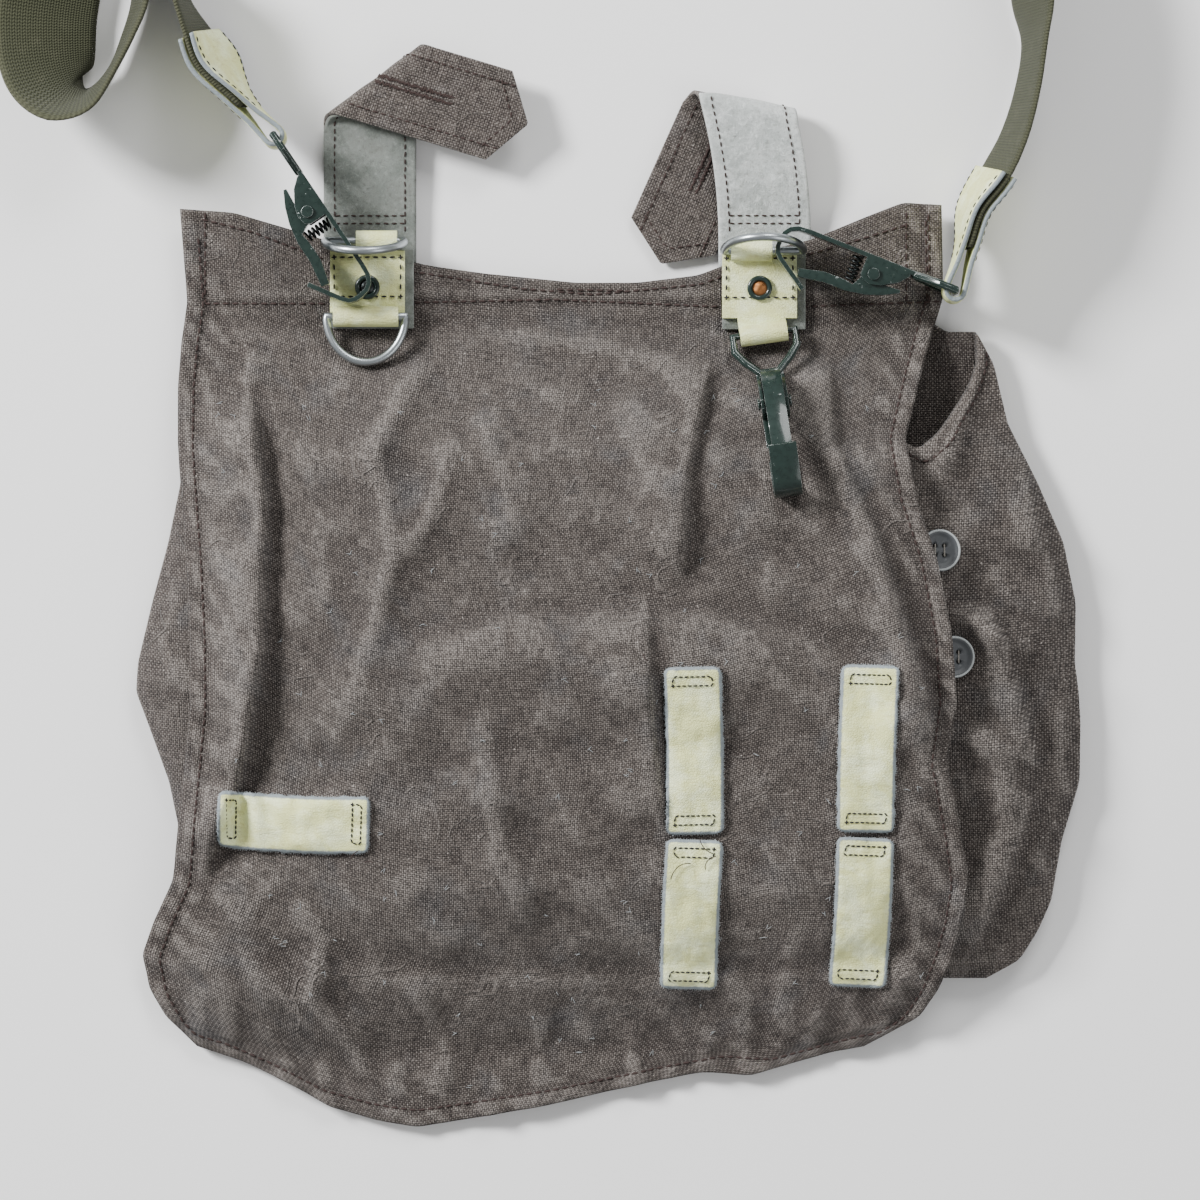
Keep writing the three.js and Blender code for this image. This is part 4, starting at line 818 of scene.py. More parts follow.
def buildFlapGrid():
    # places and heights of the flap's top, with its folds, hem and puckers
    down, across = np.meshgrid(
        np.linspace(0, 1, flapSize["rows"]), np.linspace(0, 1, flapSize["columns"]), indexing="ij",
    )
    x = bag["flapCentre"] + bag["flapWidth"] * mix(flapLeft(down), flapRight(down), across)
    y = bag["flapReach"] - bag["flapLength"] * mix(flapTop(across), flapBottom(across), down)
    base, lift, panelDown = flapUnderside(x, y, across)
    base = softened(base, 5)
    relief = foldRelief(x, y, flapFolds) * (0.9 + 0.12 * middleWaves(x, y))
    relief += 0.75 * broad(x, y) + 0.5 * middleWaves(x, y) + 0.32 * crumple.ridged(x, y)
    border = np.minimum.reduce([across, 1 - across, (1 - down) * bag["flapLength"] / bag["flapWidth"]])
    seamOff = border * bag["flapWidth"] - hem["width"]
    wave = np.sin((x + y) * 0.42 + 3 * broad(x, y))
    pucker = hem["pucker"] * np.exp(-(seamOff / 9) ** 2) * wave
    bottomPucker = 1.1 * ease(0.86, 0.97, down) * middleWaves(x * 1.7, y * 0.5)
    hemBand = hem["rise"] * ease(0, 1.5, -seamOff) - hem["groove"] * np.exp(-(seamOff / 1.1) ** 2)
    headerLine = y - at(0, hem["headerPixel"])[1] + 0.4 * broad(x, y)
    hemBand += -0.6 * np.exp(-(headerLine / 1.0) ** 2) + 0.45 * ease(-1, 1, headerLine)
    relief = np.maximum(relief, -0.8)
    grow = ease(0.1, 0.24, panelDown)
    top = base + lift + (relief + bottomPucker) * grow + pucker + hemBand + bag["canvas"]
    flat = ease(0.12, 0.2, panelDown)
    top = top + 0.25 * (1 - flat) * middleWaves(x, y)
    top = np.maximum(softened(top, 1), bag["canvas"] + 0.2)
    return x, y, top, down, across


flapX, flapY, flapZ, flapDown, flapAcross = buildFlapGrid()


flapTopGrid = np.stack([flapX, flapY, flapZ], 2)


def surfaceOf(grid, place):
    # height of a grid of points at a place, from its nearest point
    gap = np.hypot(grid[:, :, 0] - place[0], grid[:, :, 1] - place[1])
    i, j = divmod(int(np.argmin(gap)), grid.shape[1])
    return float(grid[i, j, 2])


def flapSurface(x, y):
    return surfaceOf(flapTopGrid, (x, y))


def buildFlap():
    under = flapTopGrid - [0, 0, bag["canvas"]]
    uv = np.stack([flapAcross * bag["flapWidth"] / 10, -flapDown * bag["flapLength"] / 10], 2)
    ridge = curvature(flapZ, 0.14)
    border = np.minimum.reduce([flapAcross, 1 - flapAcross, 1 - flapDown]) * bag["flapWidth"]
    ridge = np.clip(ridge + 0.5 * np.exp(-(border / 1.2) ** 2), -1, 1)
    flap = sheetPiece("flapCloth", flapTopGrid, under, uv, {"ridge": ridge})
    dress(flap, "root", "canvas", "canvas", "flap")


pouchSize = {"half": 96, "lowRows": 92, "rimRows": 34, "commonDown": 0.33}


def pouchSkin(inset):
    # rows of points round the pouch from its closed end to its mouth: the back, then the front
    half, low, rim, common = (pouchSize[key] for key in ("half", "lowRows", "rimRows", "commonDown"))
    point = np.arange(2 * half)
    front = point >= half
    step = (point % half) / (half - 1)
    side = np.cos(np.pi * np.where(front, step, 1 - step))
    hemDown = frontHem(side)
    across = (side + 1) / 2
    edge = bag["flapReach"] - bag["flapLength"] * flapTop(across)
    header = (bag["panelReach"] - edge) / bag["panelLength"] + 0.006
    rimDown = np.where(front, hemDown, mix(header, 0.158, ease(0.82, 0.93, np.abs(side))))
    rows = []
    for row in range(low + rim):
        if row < low:
            down = np.full(2 * half, mix(1 - inset / bag["panelLength"], common, row / (low - 1)))
        else:
            down = mix(common, rimDown, (row - low + 1) / rim)
        left, right = pouchEdges(down)
        x = mix(left + inset, right - inset, across)
        y = bag["panelReach"] - bag["panelLength"] * down
        back = panelHeight(down)
        top = np.maximum(frontHeight(side, down), back + 2 * bag["canvas"] + 0.3)
        relief = pouchRelief(x, y, side, down)
        fromRim = (down - rimDown) * bag["panelLength"]
        fromHem = fromRim - bag["mouthHem"]
        roll = 1.1 * ease(0.6, -0.6, fromHem) - 0.6 * np.exp(-(fromHem / 0.7) ** 2)
        z = np.where(front, top + relief - inset + roll, back + inset)
        rows.append(np.stack([x, y, z], 1))
    return np.array(rows)


def buildPouch():
    outer, inner = pouchSkin(0), pouchSkin(bag["canvas"])
    rows, count = outer.shape[:2]
    half = pouchSize["half"]
    total = rows * count
    faces = gridFaces(rows, count, 0, around=True) + gridFaces(rows, count, total, True, True)
    for p in range(count):
        n = (p + 1) % count
        a, b = (rows - 1) * count + p, (rows - 1) * count + n
        faces.append((a, b, total + b, total + a))
    for p in range(half - 1):
        m = count - 1 - p
        faces.append((p, m, m - 1, p + 1))
        faces.append((total + p, total + p + 1, total + m - 1, total + m))
    points = np.concatenate([outer.reshape(-1, 3), inner.reshape(-1, 3)])
    uv = points[:, :2] / 10 + np.stack([points[:, 2] * 0.03, points[:, 2] * 0.02], 1)
    z = outer[:, :, 2]
    ridge = curvature(np.where(np.arange(count)[None, :] >= half, z, 0), 0.18)
    ridge[:, :half] = 0
    ridge[:, half:half + 3] = 0.4
    ridge[:, -3:] = 0.4
    ridge[-2:] = 0.45
    # the inside faces get -1, the deepest hollow value: painted shade over the whole inside of the pouch
    both = np.concatenate([ridge.ravel(), np.full(total, -1.0)])
    pouch = solidPiece("pouchCloth", points, faces, uv, {"ridge": both})
    dress(pouch, "root", "canvas", "canvas", "pouch")
    seam = []
    for p in range(half + 3, half + 40):
        column = outer[:, p]
        inFromRim = column[-1, 1] - column[:, 1]
        seam.append([np.interp(-bag["mouthHem"], -inFromRim, column[:, k]) for k in range(3)])
    seam = np.array(seam) + [0, 0, 0.25]
    sew("pouchHemStitches", "canvas", "brownThread", [seam], 3.3, 2.7, 0.45)


flapSeams = [
    [(205, 302), (320, 302)],
    [(407, 301), (555, 298), (715, 305)],
    [(806, 305), (938, 300)],
    [(412, 270), (432, 273), (520, 287), (593, 293), (700, 283), (720, 276)],
    [(203, 214), (203, 300)],
    [(203, 218), (250, 230), (318, 256)],
    [(908, 214), (908, 296)],
    [(930, 216), (931, 296)],
    [(812, 252), (860, 238), (905, 224)],
]


def onFlapLine(pixels, rise=0.15):
    line = spread([at(*p) for p in pixels], 1.5)
    return [(x, y, flapSurface(x, y) + rise) for x, y in line]


def flapHemLine():
    # the hem's stitch line, a hem's width in from the flap's edge
    inset = hem["width"] / bag["flapWidth"]
    insetDown = hem["width"] / bag["flapLength"]
    rows, columns = flapX.shape
    c0, c1 = round(inset * (columns - 1)), round((1 - inset) * (columns - 1))
    r1 = round((1 - insetDown) * (rows - 1))
    picks = [(r, c0) for r in range(8, r1)] + [(r1, c) for c in range(c0, c1)]
    picks += [(r, c1) for r in range(r1, 4, -1)]
    return [flapTopGrid[r, c] + [0, 0, 0.15] for r, c in picks]


lintCount = 110


def sewFlap():
    # the flap's seams, and short pale fibres caught in its weave
    lines = [flapHemLine()] + [onFlapLine(pixels) for pixels in flapSeams]
    lines.append(onFlapLine([(560, 288), (620, 289)], 0.4))
    sew("flapStitches", "canvas", "brownThread", lines, 3.3, 2.7, 0.45)
    lint = []
    for _ in range(lintCount):
        r, c = chance.integers(20, flapSize["rows"] - 8), chance.integers(6, flapSize["columns"] - 6)
        x, y, z = flapX[r, c], flapY[r, c], flapZ[r, c] + 0.25
        lint.append([(x, y, z), (x + chance.uniform(-1, 1), y + chance.uniform(-1, 1), z)])
    sew("flapLint", "canvas", "fray", lint, 5, 2.4, 0.09, 1.5)


# leather strips: both pairs and the cross strip start at these shares of the flap
inner, outer, cross = (0.168, 0.682), (0.374, 0.68), (-0.411, 0.663)
strips = {
    "keeper_upper_inner": {"start": inner, "heading": 91, "length": 60, "puff": 1.2, "skew": 0.5},
    "keeper_lower_inner": {"start": inner, "heading": -92, "length": 54.5, "puff": 1.0, "skew": 0.4},
    "keeper_upper_outer": {"start": outer, "heading": 88.5, "length": 60, "puff": 1.4, "skew": -0.5},
    "keeper_lower_outer": {"start": outer, "heading": -92.5, "length": 54.5, "puff": 1.6, "skew": -0.5},
    "keeper_cross": {"start": cross, "heading": -2, "length": 54.5, "puff": 2.2, "skew": 1.0, "kink": 3.2},
}
keeperSize = {
    "width": 20.5, "gap": 1, "leather": 2.0, "lift": 0.35, "round": 2.6, "rows": 84, "columns": 34,
    "edgeFall": 0.7, "greyEdge": 1.35, "boxHalf": 7, "boxRise": 1.6, "boxAt": (0.085, 0.915),
}


def buildKeeper(name, row):
    # a strip over the flap; returns the lines of its sewn boxes and its border
    size = keeperSize
    start = onFlapShare(*row["start"])
    angle = math.radians(row["heading"])
    way = np.array([math.cos(angle), math.sin(angle)])
    across = np.array([way[1], -way[0]])
    rough = Waves(4, 10)
    top = np.zeros((size["rows"], size["columns"], 3))
    edge = np.zeros((size["rows"], size["columns"]))
    uv = np.zeros((size["rows"], size["columns"], 2))
    for i in range(size["rows"]):
        for j in range(size["columns"]):
            u, v = i / (size["rows"] - 1), j / (size["columns"] - 1) - 0.5
            along = size["gap"] + row["length"] * u
            end = min(along - size["gap"], size["gap"] + row["length"] - along)
            short = max(size["round"] - end, 0)
            half = size["width"] / 2 - size["round"] + math.sqrt(size["round"] ** 2 - short ** 2)
            ragged = 0.16 * float(rough(along, 30 * round(v))) * (abs(v) > 0.47)
            over = half * 2 * v + ragged + row["skew"] * math.sin(3 * u)
            place = start + way * along + across * over
            z = flapSurface(place[0], place[1]) + size["lift"]
            z += row["puff"] * math.sin(math.pi * np.clip((u - 0.16) / 0.68, 0, 1)) * (1 - (2 * v) ** 4)
            z += row.get("kink", 0) * math.exp(-((u - 0.25 - 0.06 * v) / 0.06) ** 2) * (0.75 - v)
            z += 0.25 * float(crumple(place[0] * 1.5, place[1] * 1.5))
            gap = min((0.5 - abs(v)) * half * 2, end)
            top[i, j] = (place[0], place[1], z + size["leather"] - size["edgeFall"] * math.exp(-gap / 0.5))
            edge[i, j] = math.exp(-(gap / size["greyEdge"]) ** 2)
            uv[i, j] = (over / 10, along / 10)
    zs = softened(top[:, :, 2], 4)
    top[:, :, 2] = np.where(edge > 0.6, top[:, :, 2], zs)
    bottom = top.copy()
    bottom[:, :, 2] -= size["leather"] - 0.5
    piece = sheetPiece(name + "Strip", top, bottom, uv, {"edge": edge})
    dress(piece, "root", "leather", "leather", name)
    boxes = []
    wide, high = size["boxHalf"], size["boxRise"]
    corners = [(-wide, -high), (wide, -high), (wide, high), (-wide, high), (-wide, -high)]
    for far in size["boxAt"]:
        centre = start + way * (size["gap"] + row["length"] * far)
        flat = spread([centre + across * a + way * b for a, b in corners], 0.8)
        heights = [surfaceOf(top, p) + 0.1 for p in flat]
        boxes.append([(p[0], p[1], z) for p, z in zip(flat, heights)])
    border = np.concatenate([top[0], top[:, -1], top[-1, ::-1], top[::-1, 0]])
    border[:, 2] -= 0.8
    return boxes, border


# faces that meet at a smaller angle than this, in degrees, are shaded as one
smoothBelow = 42


def dressedCopy(name, node, bevel, angle=30, subdivide=0):
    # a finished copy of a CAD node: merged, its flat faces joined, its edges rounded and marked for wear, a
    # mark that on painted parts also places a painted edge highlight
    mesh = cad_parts[node].data.copy()
    shape = bmesh.new()
    shape.from_mesh(mesh)
    mark = shape.verts.layers.float.new("edge")
    bmesh.ops.remove_doubles(shape, verts=shape.verts, dist=1e-6)
    bmesh.ops.dissolve_limit(shape, angle_limit=math.radians(2), verts=shape.verts, edges=shape.edges)
    bmesh.ops.recalc_face_normals(shape, faces=shape.faces)
    sharp = [e for e in shape.edges if len(e.link_faces) == 2 and e.calc_face_angle(0) > math.radians(angle)]
    rounded = bmesh.ops.bevel(
        shape, geom=sharp, offset=bevel * mm, offset_type="OFFSET", segments=2, profile=0.5,
        affect="EDGES", clamp_overlap=True,
    )
    worn = set(rounded["faces"])
    for corner in shape.verts:
        corner[mark] = float(bool(corner.link_faces) and all(face in worn for face in corner.link_faces))
    bmesh.ops.triangulate(shape, faces=[f for f in shape.faces if len(f.verts) > 4])
    for _ in range(subdivide):
        bmesh.ops.subdivide_edges(shape, edges=[e for e in shape.edges if e.calc_length() > 1.2 * mm], cuts=1)
        bmesh.ops.triangulate(shape, faces=[f for f in shape.faces if len(f.verts) > 4])
    shape.normal_update()
    for edgeLine in shape.edges:
        if len(edgeLine.link_faces) == 2 and edgeLine.calc_face_angle(0) > math.radians(smoothBelow):
            edgeLine.smooth = False
    shape.to_mesh(mesh)
    shape.free()
    mesh.name = name
    return placed(name, mesh)


def circle(count):
    return np.linspace(0, 2 * math.pi, count + 1)[:-1]


# chapes with their backings and rivets
chape = {
    "left": (-84.01, 128.58), "right": (57.66, 128.24), "top": 12.6,
    "seamHalf": 12, "seamUpper": 9.6, "seamLower": -4.6,
    "rivetDown": 1.2, "rivetRadius": 3.6, "rivetWire": 0.95, "headRadius": 2.9, "headRise": 0.7,
}


def buildChapes():
    z, half, upper, lower = chape["top"], chape["seamHalf"], chape["seamUpper"], chape["seamLower"]
    rows = []
    for side in ("left", "right"):
        piece = dressedCopy(f"chape_{side}_leather", f"chape_{side}", 0.35, subdivide=2)
        dress(piece, "root", "leather", "leather", f"chape_{side}")
        back = dressedCopy(f"backing_{side}_suede", f"backing_{side}", 0.4, subdivide=3)
        dress(back, "root", "suede", "suede", f"backing_{side}")
        x, y = chape[side]
        rows += [[(x - half, y + up, z), (x + half, y + up, z)] for up in (upper, lower)]
        rows += [[(x + over, y + upper, z), (x + over, y + lower, z)] for over in (-half, half)]
    sew("chapeStitches", "leather", "blackThread", rows, 2.9, 2.2, 0.36)
    for side in ("left", "right"):
        x, y = chape[side]
        y -= chape["rivetDown"]
        radius = chape["rivetRadius"]
        rim = [(x + radius * math.cos(a), y + radius * math.sin(a), z + 0.5) for a in circle(39)]
        loop = tubePiece(f"rivet_{side}_rim", rim, chape["rivetWire"], 12, True, 0.8)
        dress(loop, "root", "green_paint", "green_paint")
        head = domePiece(f"rivet_{side}_head", (x, y, z + 0.1), chape["headRadius"], chape["headRise"])
        # the left head takes the blackened spring steel as painted shadow of the hook that lies over it; the
        # right head is copper
        dress(head, "root", "steel", "copper" if side == "right" else "spring", f"rivet_{side}")


def domePiece(name, centre, radius, height, rings=8, sides=28):
    # a low dome with a hammered surface
    lump = Waves(3, 6)
    points = []
    for r in range(rings + 1):
        out = radius * (1 - r / rings) if r < rings else 0.02
        for s in range(sides):
            a = 2 * math.pi * s / sides
            x, y = out * math.cos(a), out * math.sin(a)
            z = height * (1 - (out / radius) ** 2) * (1 + 0.25 * float(lump(x, y)))
            points.append((centre[0] + x, centre[1] + y, centre[2] + z))
    return ringedPiece(name, points, rings + 1, sides)


# rings and hooks
ring = {"wire": 1.52, "half": 14.25, "depth": 16.5, "bar": 13.78}
ringPlaces = {
    "left": {"centre": (-85.01, 143.99), "turn": 105, "body": "root"},
    "right": {"centre": (59.06, 140.43), "turn": 75, "body": "root"},
    "lower": {"centre": (-84.53, 116.77), "turn": 176.27, "body": "d_ring_lower"},
}


def buildRings():
    bow = [(ring["half"] * math.cos(a), ring["depth"] * math.sin(a)) for a in np.linspace(0, math.pi, 41)]
    bar = [(x, 0) for x in np.linspace(-ring["half"] * 0.86, ring["half"] * 0.86, 16)]
    for name, place in ringPlaces.items():
        turn = Matrix.Rotation(math.radians(place["turn"]), 3, "X")
        centre = Vector((*place["centre"], ring["bar"]))
        path = [turn @ Vector((x, y, 0)) + centre for x, y in bow + bar]
        piece = tubePiece(f"d_ring_{name}_wire", path, ring["wire"], 20, True)
        dress(piece, place["body"], "steel", "steel", f"d_ring_{name}")


hookSize = {
    "bar": 66, "eyeCentre": 1.2, "eyeWire": 1.5, "level": 20.58,
    "left": (124, -79.31, 127.19), "right": (-21.7, 66.66, 151.03),
    "spareTurn": 98, "sparePitch": 20.75, "spareEye": (59.06, 110.65, 13.78),
}
springSize = {
    "along": 29.3, "radius": 1.8, "wire": 0.42, "turns": 6, "from": 2.0, "to": 11.55, "pressed": 0.82,
}


def hookFrames():
    # each hook's corner, the way to its eye and the way from its bar to its lever
    frames = {}
    for name, sign in (("left", 1), ("right", -1)):
        degrees, x, y = hookSize[name]
        a = math.radians(degrees)
        along = Vector((math.cos(a), math.sin(a), 0))
        inwards = Vector((-math.sin(a), math.cos(a), 0)) * sign
        frames[name] = (Vector((x, y, hookSize["level"])), along, inwards)
    turn, pitch = math.radians(hookSize["spareTurn"]), math.radians(hookSize["sparePitch"])
    along = Vector((math.cos(turn) * math.cos(pitch), math.sin(turn) * math.cos(pitch), -math.sin(pitch)))
    side = Vector((math.sin(turn), -math.cos(turn), 0))
    inwards = side.cross(along)
    corner = Vector(hookSize["spareEye"]) - along * hookSize["bar"] - inwards * hookSize["eyeCentre"]
    frames["spare"] = (corner, along, inwards)
    return frames


def buildHooks():
    size = springSize
    for name, (corner, along, inwards) in hookFrames().items():
        body = "hook_spare" if name == "spare" else "root"
        across = along.cross(inwards)

        def place(a, d, z=0.0):
            return corner + along * a + inwards * d + across * z

        for part, rides, bevel in (("body", body, 0.42), ("lever", f"lever_{name}", 0.6), ("pin", body, 0.3)):
            piece = dressedCopy(f"hook_{name}_{part}_painted", f"hook_{name}_{part}", bevel, 28, subdivide=1)
            dress(piece, rides, "green_paint", "green_paint", f"hook_{name}_{part}")
        coil = []
        steps = size["turns"] * 20
        for i in range(steps + 1):
            a = 2 * math.pi * size["turns"] * i / steps
            d = mix(size["from"], size["to"], i / steps)
            coil.append(place(size["along"] + size["radius"] * math.cos(a), d, size["radius"] * math.sin(a)))
        spring = tubePiece(f"hook_{name}_coil", coil, size["wire"], 10)
        dress(spring, body, "green_paint", "spring", f"hook_{name}_spring")
        anchor = tuple(place(size["along"], size["from"]) * mm)
        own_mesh(spring)


# belt loops
loopSize = {
    "width": 33.5, "radius": 3.6, "tab": 1.1, "face": 78, "length": 145, "point": 11,
    "suede": 1.25, "glue": 0.25, "tabHem": 5, "faceHem": 4,
}
loops = {
    "left": {
        "root": (-0.227, 0.115), "fold": ((-0.279, -0.084), (-0.173, -0.154)),
        "way": 1, "lift": 1, "sway": 0, "finish": "suede",
    },
    "right": {
        "root": (0.255, 0.115), "fold": ((0.3, -0.087), (0.163, -0.113)),
        "way": -1, "lift": 7.2, "sway": 6.5, "finish": "paleSuede",
    },
}


def loopPoint(loop, across, along, level):
    # a place on a belt loop as folded, from its place across, along and above the flat strip
    start, end = (onFlapShare(*p) for p in loop["fold"])
    line = (end - start) / np.linalg.norm(end - start)
    beyond = np.array([-line[1], line[0]])
    if beyond[1] < 0:
        beyond = -beyond
    far = along / loopSize["face"]
    sway = loop["sway"] * min((max(far - 0.32, 0) / 0.64) ** 2, 1.6)
    place = onFlapShare(*loop["root"]) + np.array([across - sway, along])
    past = float((place - start) @ beyond)
    rise = loop["lift"] * float(ease(0.31, 0.79, far))
    radius = loopSize["radius"]
    angle = min(max(past / radius, 0), math.pi)
    curl = radius - loop["way"] * (level - loopSize["tab"] / 2)
    middle = rise + loopSize["tab"] / 2 + loop["way"] * radius
    z = rise + level
    if past > 0:
        back = max(past - math.pi * radius, 0)
        place = place + beyond * (-past - back + curl * math.sin(angle))
        z = middle - loop["way"] * curl * math.cos(angle)
    return (place[0], place[1], z + 0.3)


def loopStrip(loop, length, low, high, pointed, rows, lanes=30):
    # top and bottom grids of one layer of a belt loop
    width, tabHem = loopSize["width"], loopSize["tabHem"]
    top, bottom = np.zeros((rows, lanes, 3)), np.zeros((rows, lanes, 3))
    uv, mark = np.zeros((rows, lanes, 2)), np.zeros((rows, lanes))
    for i in range(rows):
        for j in range(lanes):
            v = j / (lanes - 1) - 0.5
            along = length * i / (rows - 1)
            over = width * v
            narrowing = max(along - (length - loopSize["point"]), 0) * abs(2 * v) if pointed else 0
            far = along - narrowing
            gap = min((0.5 - abs(v)) * width, length - along if i else 99)
            soft = 0.28 * float(middleWaves(over * 1.6, far * 1.6)) * min(far / 40, 1)
            band = 0
            if pointed:
                band = 0.45 * float(ease(tabHem, 3.8, gap)) - 0.4 * math.exp(-((gap - tabHem) / 0.6) ** 2)
            top[i, j] = loopPoint(loop, over, far, high + soft * 0.5 + band * 0.5)
            bottom[i, j] = loopPoint(loop, over, far, low + soft * 0.5)
            uv[i, j] = (over / 10, far / 10)
            mark[i, j] = math.exp(-gap / 0.9)
    return top, bottom, uv, mark


def buildLoops():
    hems, faceRows, holes = [], [], []
    width, full, tab = loopSize["width"], loopSize["length"], loopSize["tab"]
    under = tab + loopSize["glue"]
    upper = under + loopSize["suede"]
    above, outside = upper + 0.1, -0.12
    faceHalf, tabHalf = width / 2 - loopSize["faceHem"], width / 2 - loopSize["tabHem"]
    for name, loop in loops.items():
        def line(across, along, level):
            return [loopPoint(loop, x, y, level) for x, y in np.broadcast(across, along)]

        top, bottom, uv, mark = loopStrip(loop, full, 0, tab, True, 190)
        cloth = sheetPiece(f"belt_loop_{name}_cloth", top, bottom, uv, {"ridge": mark * 0.5})
        dress(cloth, "root", "canvas", "canvas", f"belt_loop_{name}_tab")
        top, bottom, uv, mark = loopStrip(loop, loopSize["face"], under, upper, False, 110)
        face = sheetPiece(f"belt_loop_{name}_suede", top, bottom, uv, {"edge": mark})
        dress(face, "root", "suede", loop["finish"], f"belt_loop_{name}_face")
        faceRows += [line(side * faceHalf, np.linspace(30, 76, 40), above) for side in (-1, 1)]
        faceRows += [line(np.linspace(-tabHalf, tabHalf, 24), a, above) for a in (32, 34.8)]
        hems += [line(side * tabHalf, np.linspace(82, full - 9, 50), outside) for side in (-1, 1)]
        tip = np.linspace(-tabHalf, tabHalf, 30)
        hems.append(line(tip, full - 6 - abs(tip) * 0.62, outside))
        holes += [line(x, np.linspace(88, 116, 40), outside) for x in (1.2, -1.2)]
    sew("loopFaceStitches", "suede", "brownThread", faceRows, 2.7, 2.1, 0.34)
    sew("loopTabStitches", "canvas", "brownThread", hems, 2.9, 2.3, 0.36)
    sew("buttonholeStitches", "canvas", "brownThread", holes, 0.75, 2.4, 0.36, 1.2)


# shoulder strap
strapSize = {
    "width": 38, "endWidth": 19, "endLength": 46, "webbing": 2.2, "leather": 2.0, "play": 0.5,
    "gap": 0.3, "bare": 15, "seam": 2.6,
}
route = [
    (-.382, -.111, 8), (-.413, -.152, 20), (-.436, -.188, 12), (-.453, -.219, 6), (-.467, -.259, 4),
    (-.487, -.284, 4), (-.507, -.259, 8), (-.504, -.219, 12), (-.518, -.181, 10), (-.538, -.143, 8),
    (-.563, -.115, 14), (-.594, -.115, 34), (-.614, -.14, 58), (-.621, -.176, 72), (-.619, -.219, 78),
    (-.585, -.326, 60), (-.491, -.455, 30), (-.322, -.595, 15), (-.092, -.675, 12), (.151, -.675, 12),
    (.369, -.584, 12), (.514, -.423, 15), (.569, -.283, 18), (.579, -.219, 19), (.581, -.175, 10),
    (.572, -.122, 10), (.556, -.073, 12), (.534, -.033, 14), (.508, .005, 10), (.499, .045, 4),
]


def strapLine():
    # a centripetal spline through the route, from the left hook's bar to the right one's
    frames = hookFrames()
    ends = []
    for name in ("left", "right"):
        corner, along, inwards = frames[name]
        bar = corner + along * hookSize["bar"] + inwards * hookSize["eyeCentre"]
        ends.append(np.array([bar.x, bar.y, 0]))
    knots = [ends[0]] + [np.array([*onFlapShare(a, b), lean]) for a, b, lean in route] + [ends[1]]
    dense = []
    padded = [2 * knots[0] - knots[1]] + knots + [2 * knots[-1] - knots[-2]]
    for i in range(len(knots) - 1):
        p = padded[i:i + 4]
        gaps = [max(np.sum((p[k + 1] - p[k]) ** 2) ** 0.25, 1e-4) for k in range(3)]
        m1, m2 = (
            gaps[1] * ((p[k + 1] - p[k]) / gaps[k] - (p[k + 2] - p[k]) / (gaps[k] + gaps[k + 1])
                       + (p[k + 2] - p[k + 1]) / gaps[k + 1]) for k in (0, 1)
        )
        for t in np.arange(0, 1, 1 / 24):
            a = 2 * t ** 3 - 3 * t * t + 1
            b, c, d = t ** 3 - 2 * t * t + t, 3 * t * t - 2 * t ** 3, t ** 3 - t * t
            dense.append(a * p[1] + b * m1 + c * p[2] + d * m2)
    dense.append(knots[-1])
    dense = np.array(dense)
    run = np.concatenate([[0], np.cumsum(np.linalg.norm(np.diff(dense[:, :2], axis=0), axis=1))])
    return dense, run


strapPoints, strapRun = strapLine()
strapLength = float(strapRun[-1])


def strapFrame(run):
    # the strap's middle, directions and width at a distance along it
    def spot(value):
        return np.array([np.interp(value, strapRun, strapPoints[:, k]) for k in range(3)])
    here = spot(run)
    way = spot(min(run + 0.8, strapLength))[:2] - spot(max(run - 0.8, 0))[:2]
    way = way / np.linalg.norm(way)
    lean = math.radians(here[2])
    left = Vector((-way[1], way[0], 0))
    up = Vector((0, 0, 1))
    lying = strapSize["width"] / 2 * math.cos(lean) + 3.1 * math.sin(lean) + 0.3
    end = min(run, strapLength - run)
    level = mix(hookSize["level"], lying, float(ease(0, strapSize["endLength"], end)))
    widening = float(ease(0, strapSize["endLength"] * 0.9, end))
    return {
        "centre": Vector((here[0], here[1], level)),
        "way": Vector((way[0], way[1], 0)),
        "across": up * math.cos(lean) + left * math.sin(lean),
        "face": left * math.cos(lean) - up * math.sin(lean),
        "width": mix(strapSize["endWidth"], strapSize["width"], widening),
    }


def bandPiece(name, sections, thickness):
    # a band through sections of centre, across, face, width and distance, with rounded edges
    lanes = 16
    points, uv, mark = [], [], []
    loop = [(j / (lanes - 1) * 2 - 1, 1) for j in range(lanes)]
    loop += [(1 - j / (lanes - 1) * 2, -1) for j in range(lanes)]
    for centre, across, face, width, run in sections:
        for v, side in loop:
            thin = 1 - 0.45 * max(abs(v) - 0.93, 0) / 0.07
            points.append(centre + across * (v * width / 2) + face * (side * thickness / 2 * thin))
            uv.append((v * width / 20, run / 10))
            mark.append(math.exp(-(1 - abs(v)) * width / 2 / 0.9))
    count = len(loop)
    faces = gridFaces(len(sections), count, around=True)
    last = (len(sections) - 1) * count
    for j in range(lanes - 1):
        faces.append((j, j + 1, count - 2 - j, count - 1 - j))
        faces.append((last + j, last + count - 1 - j, last + count - 2 - j, last + j + 1))
    return solidPiece(name, points, faces, uv, {"edge": mark})


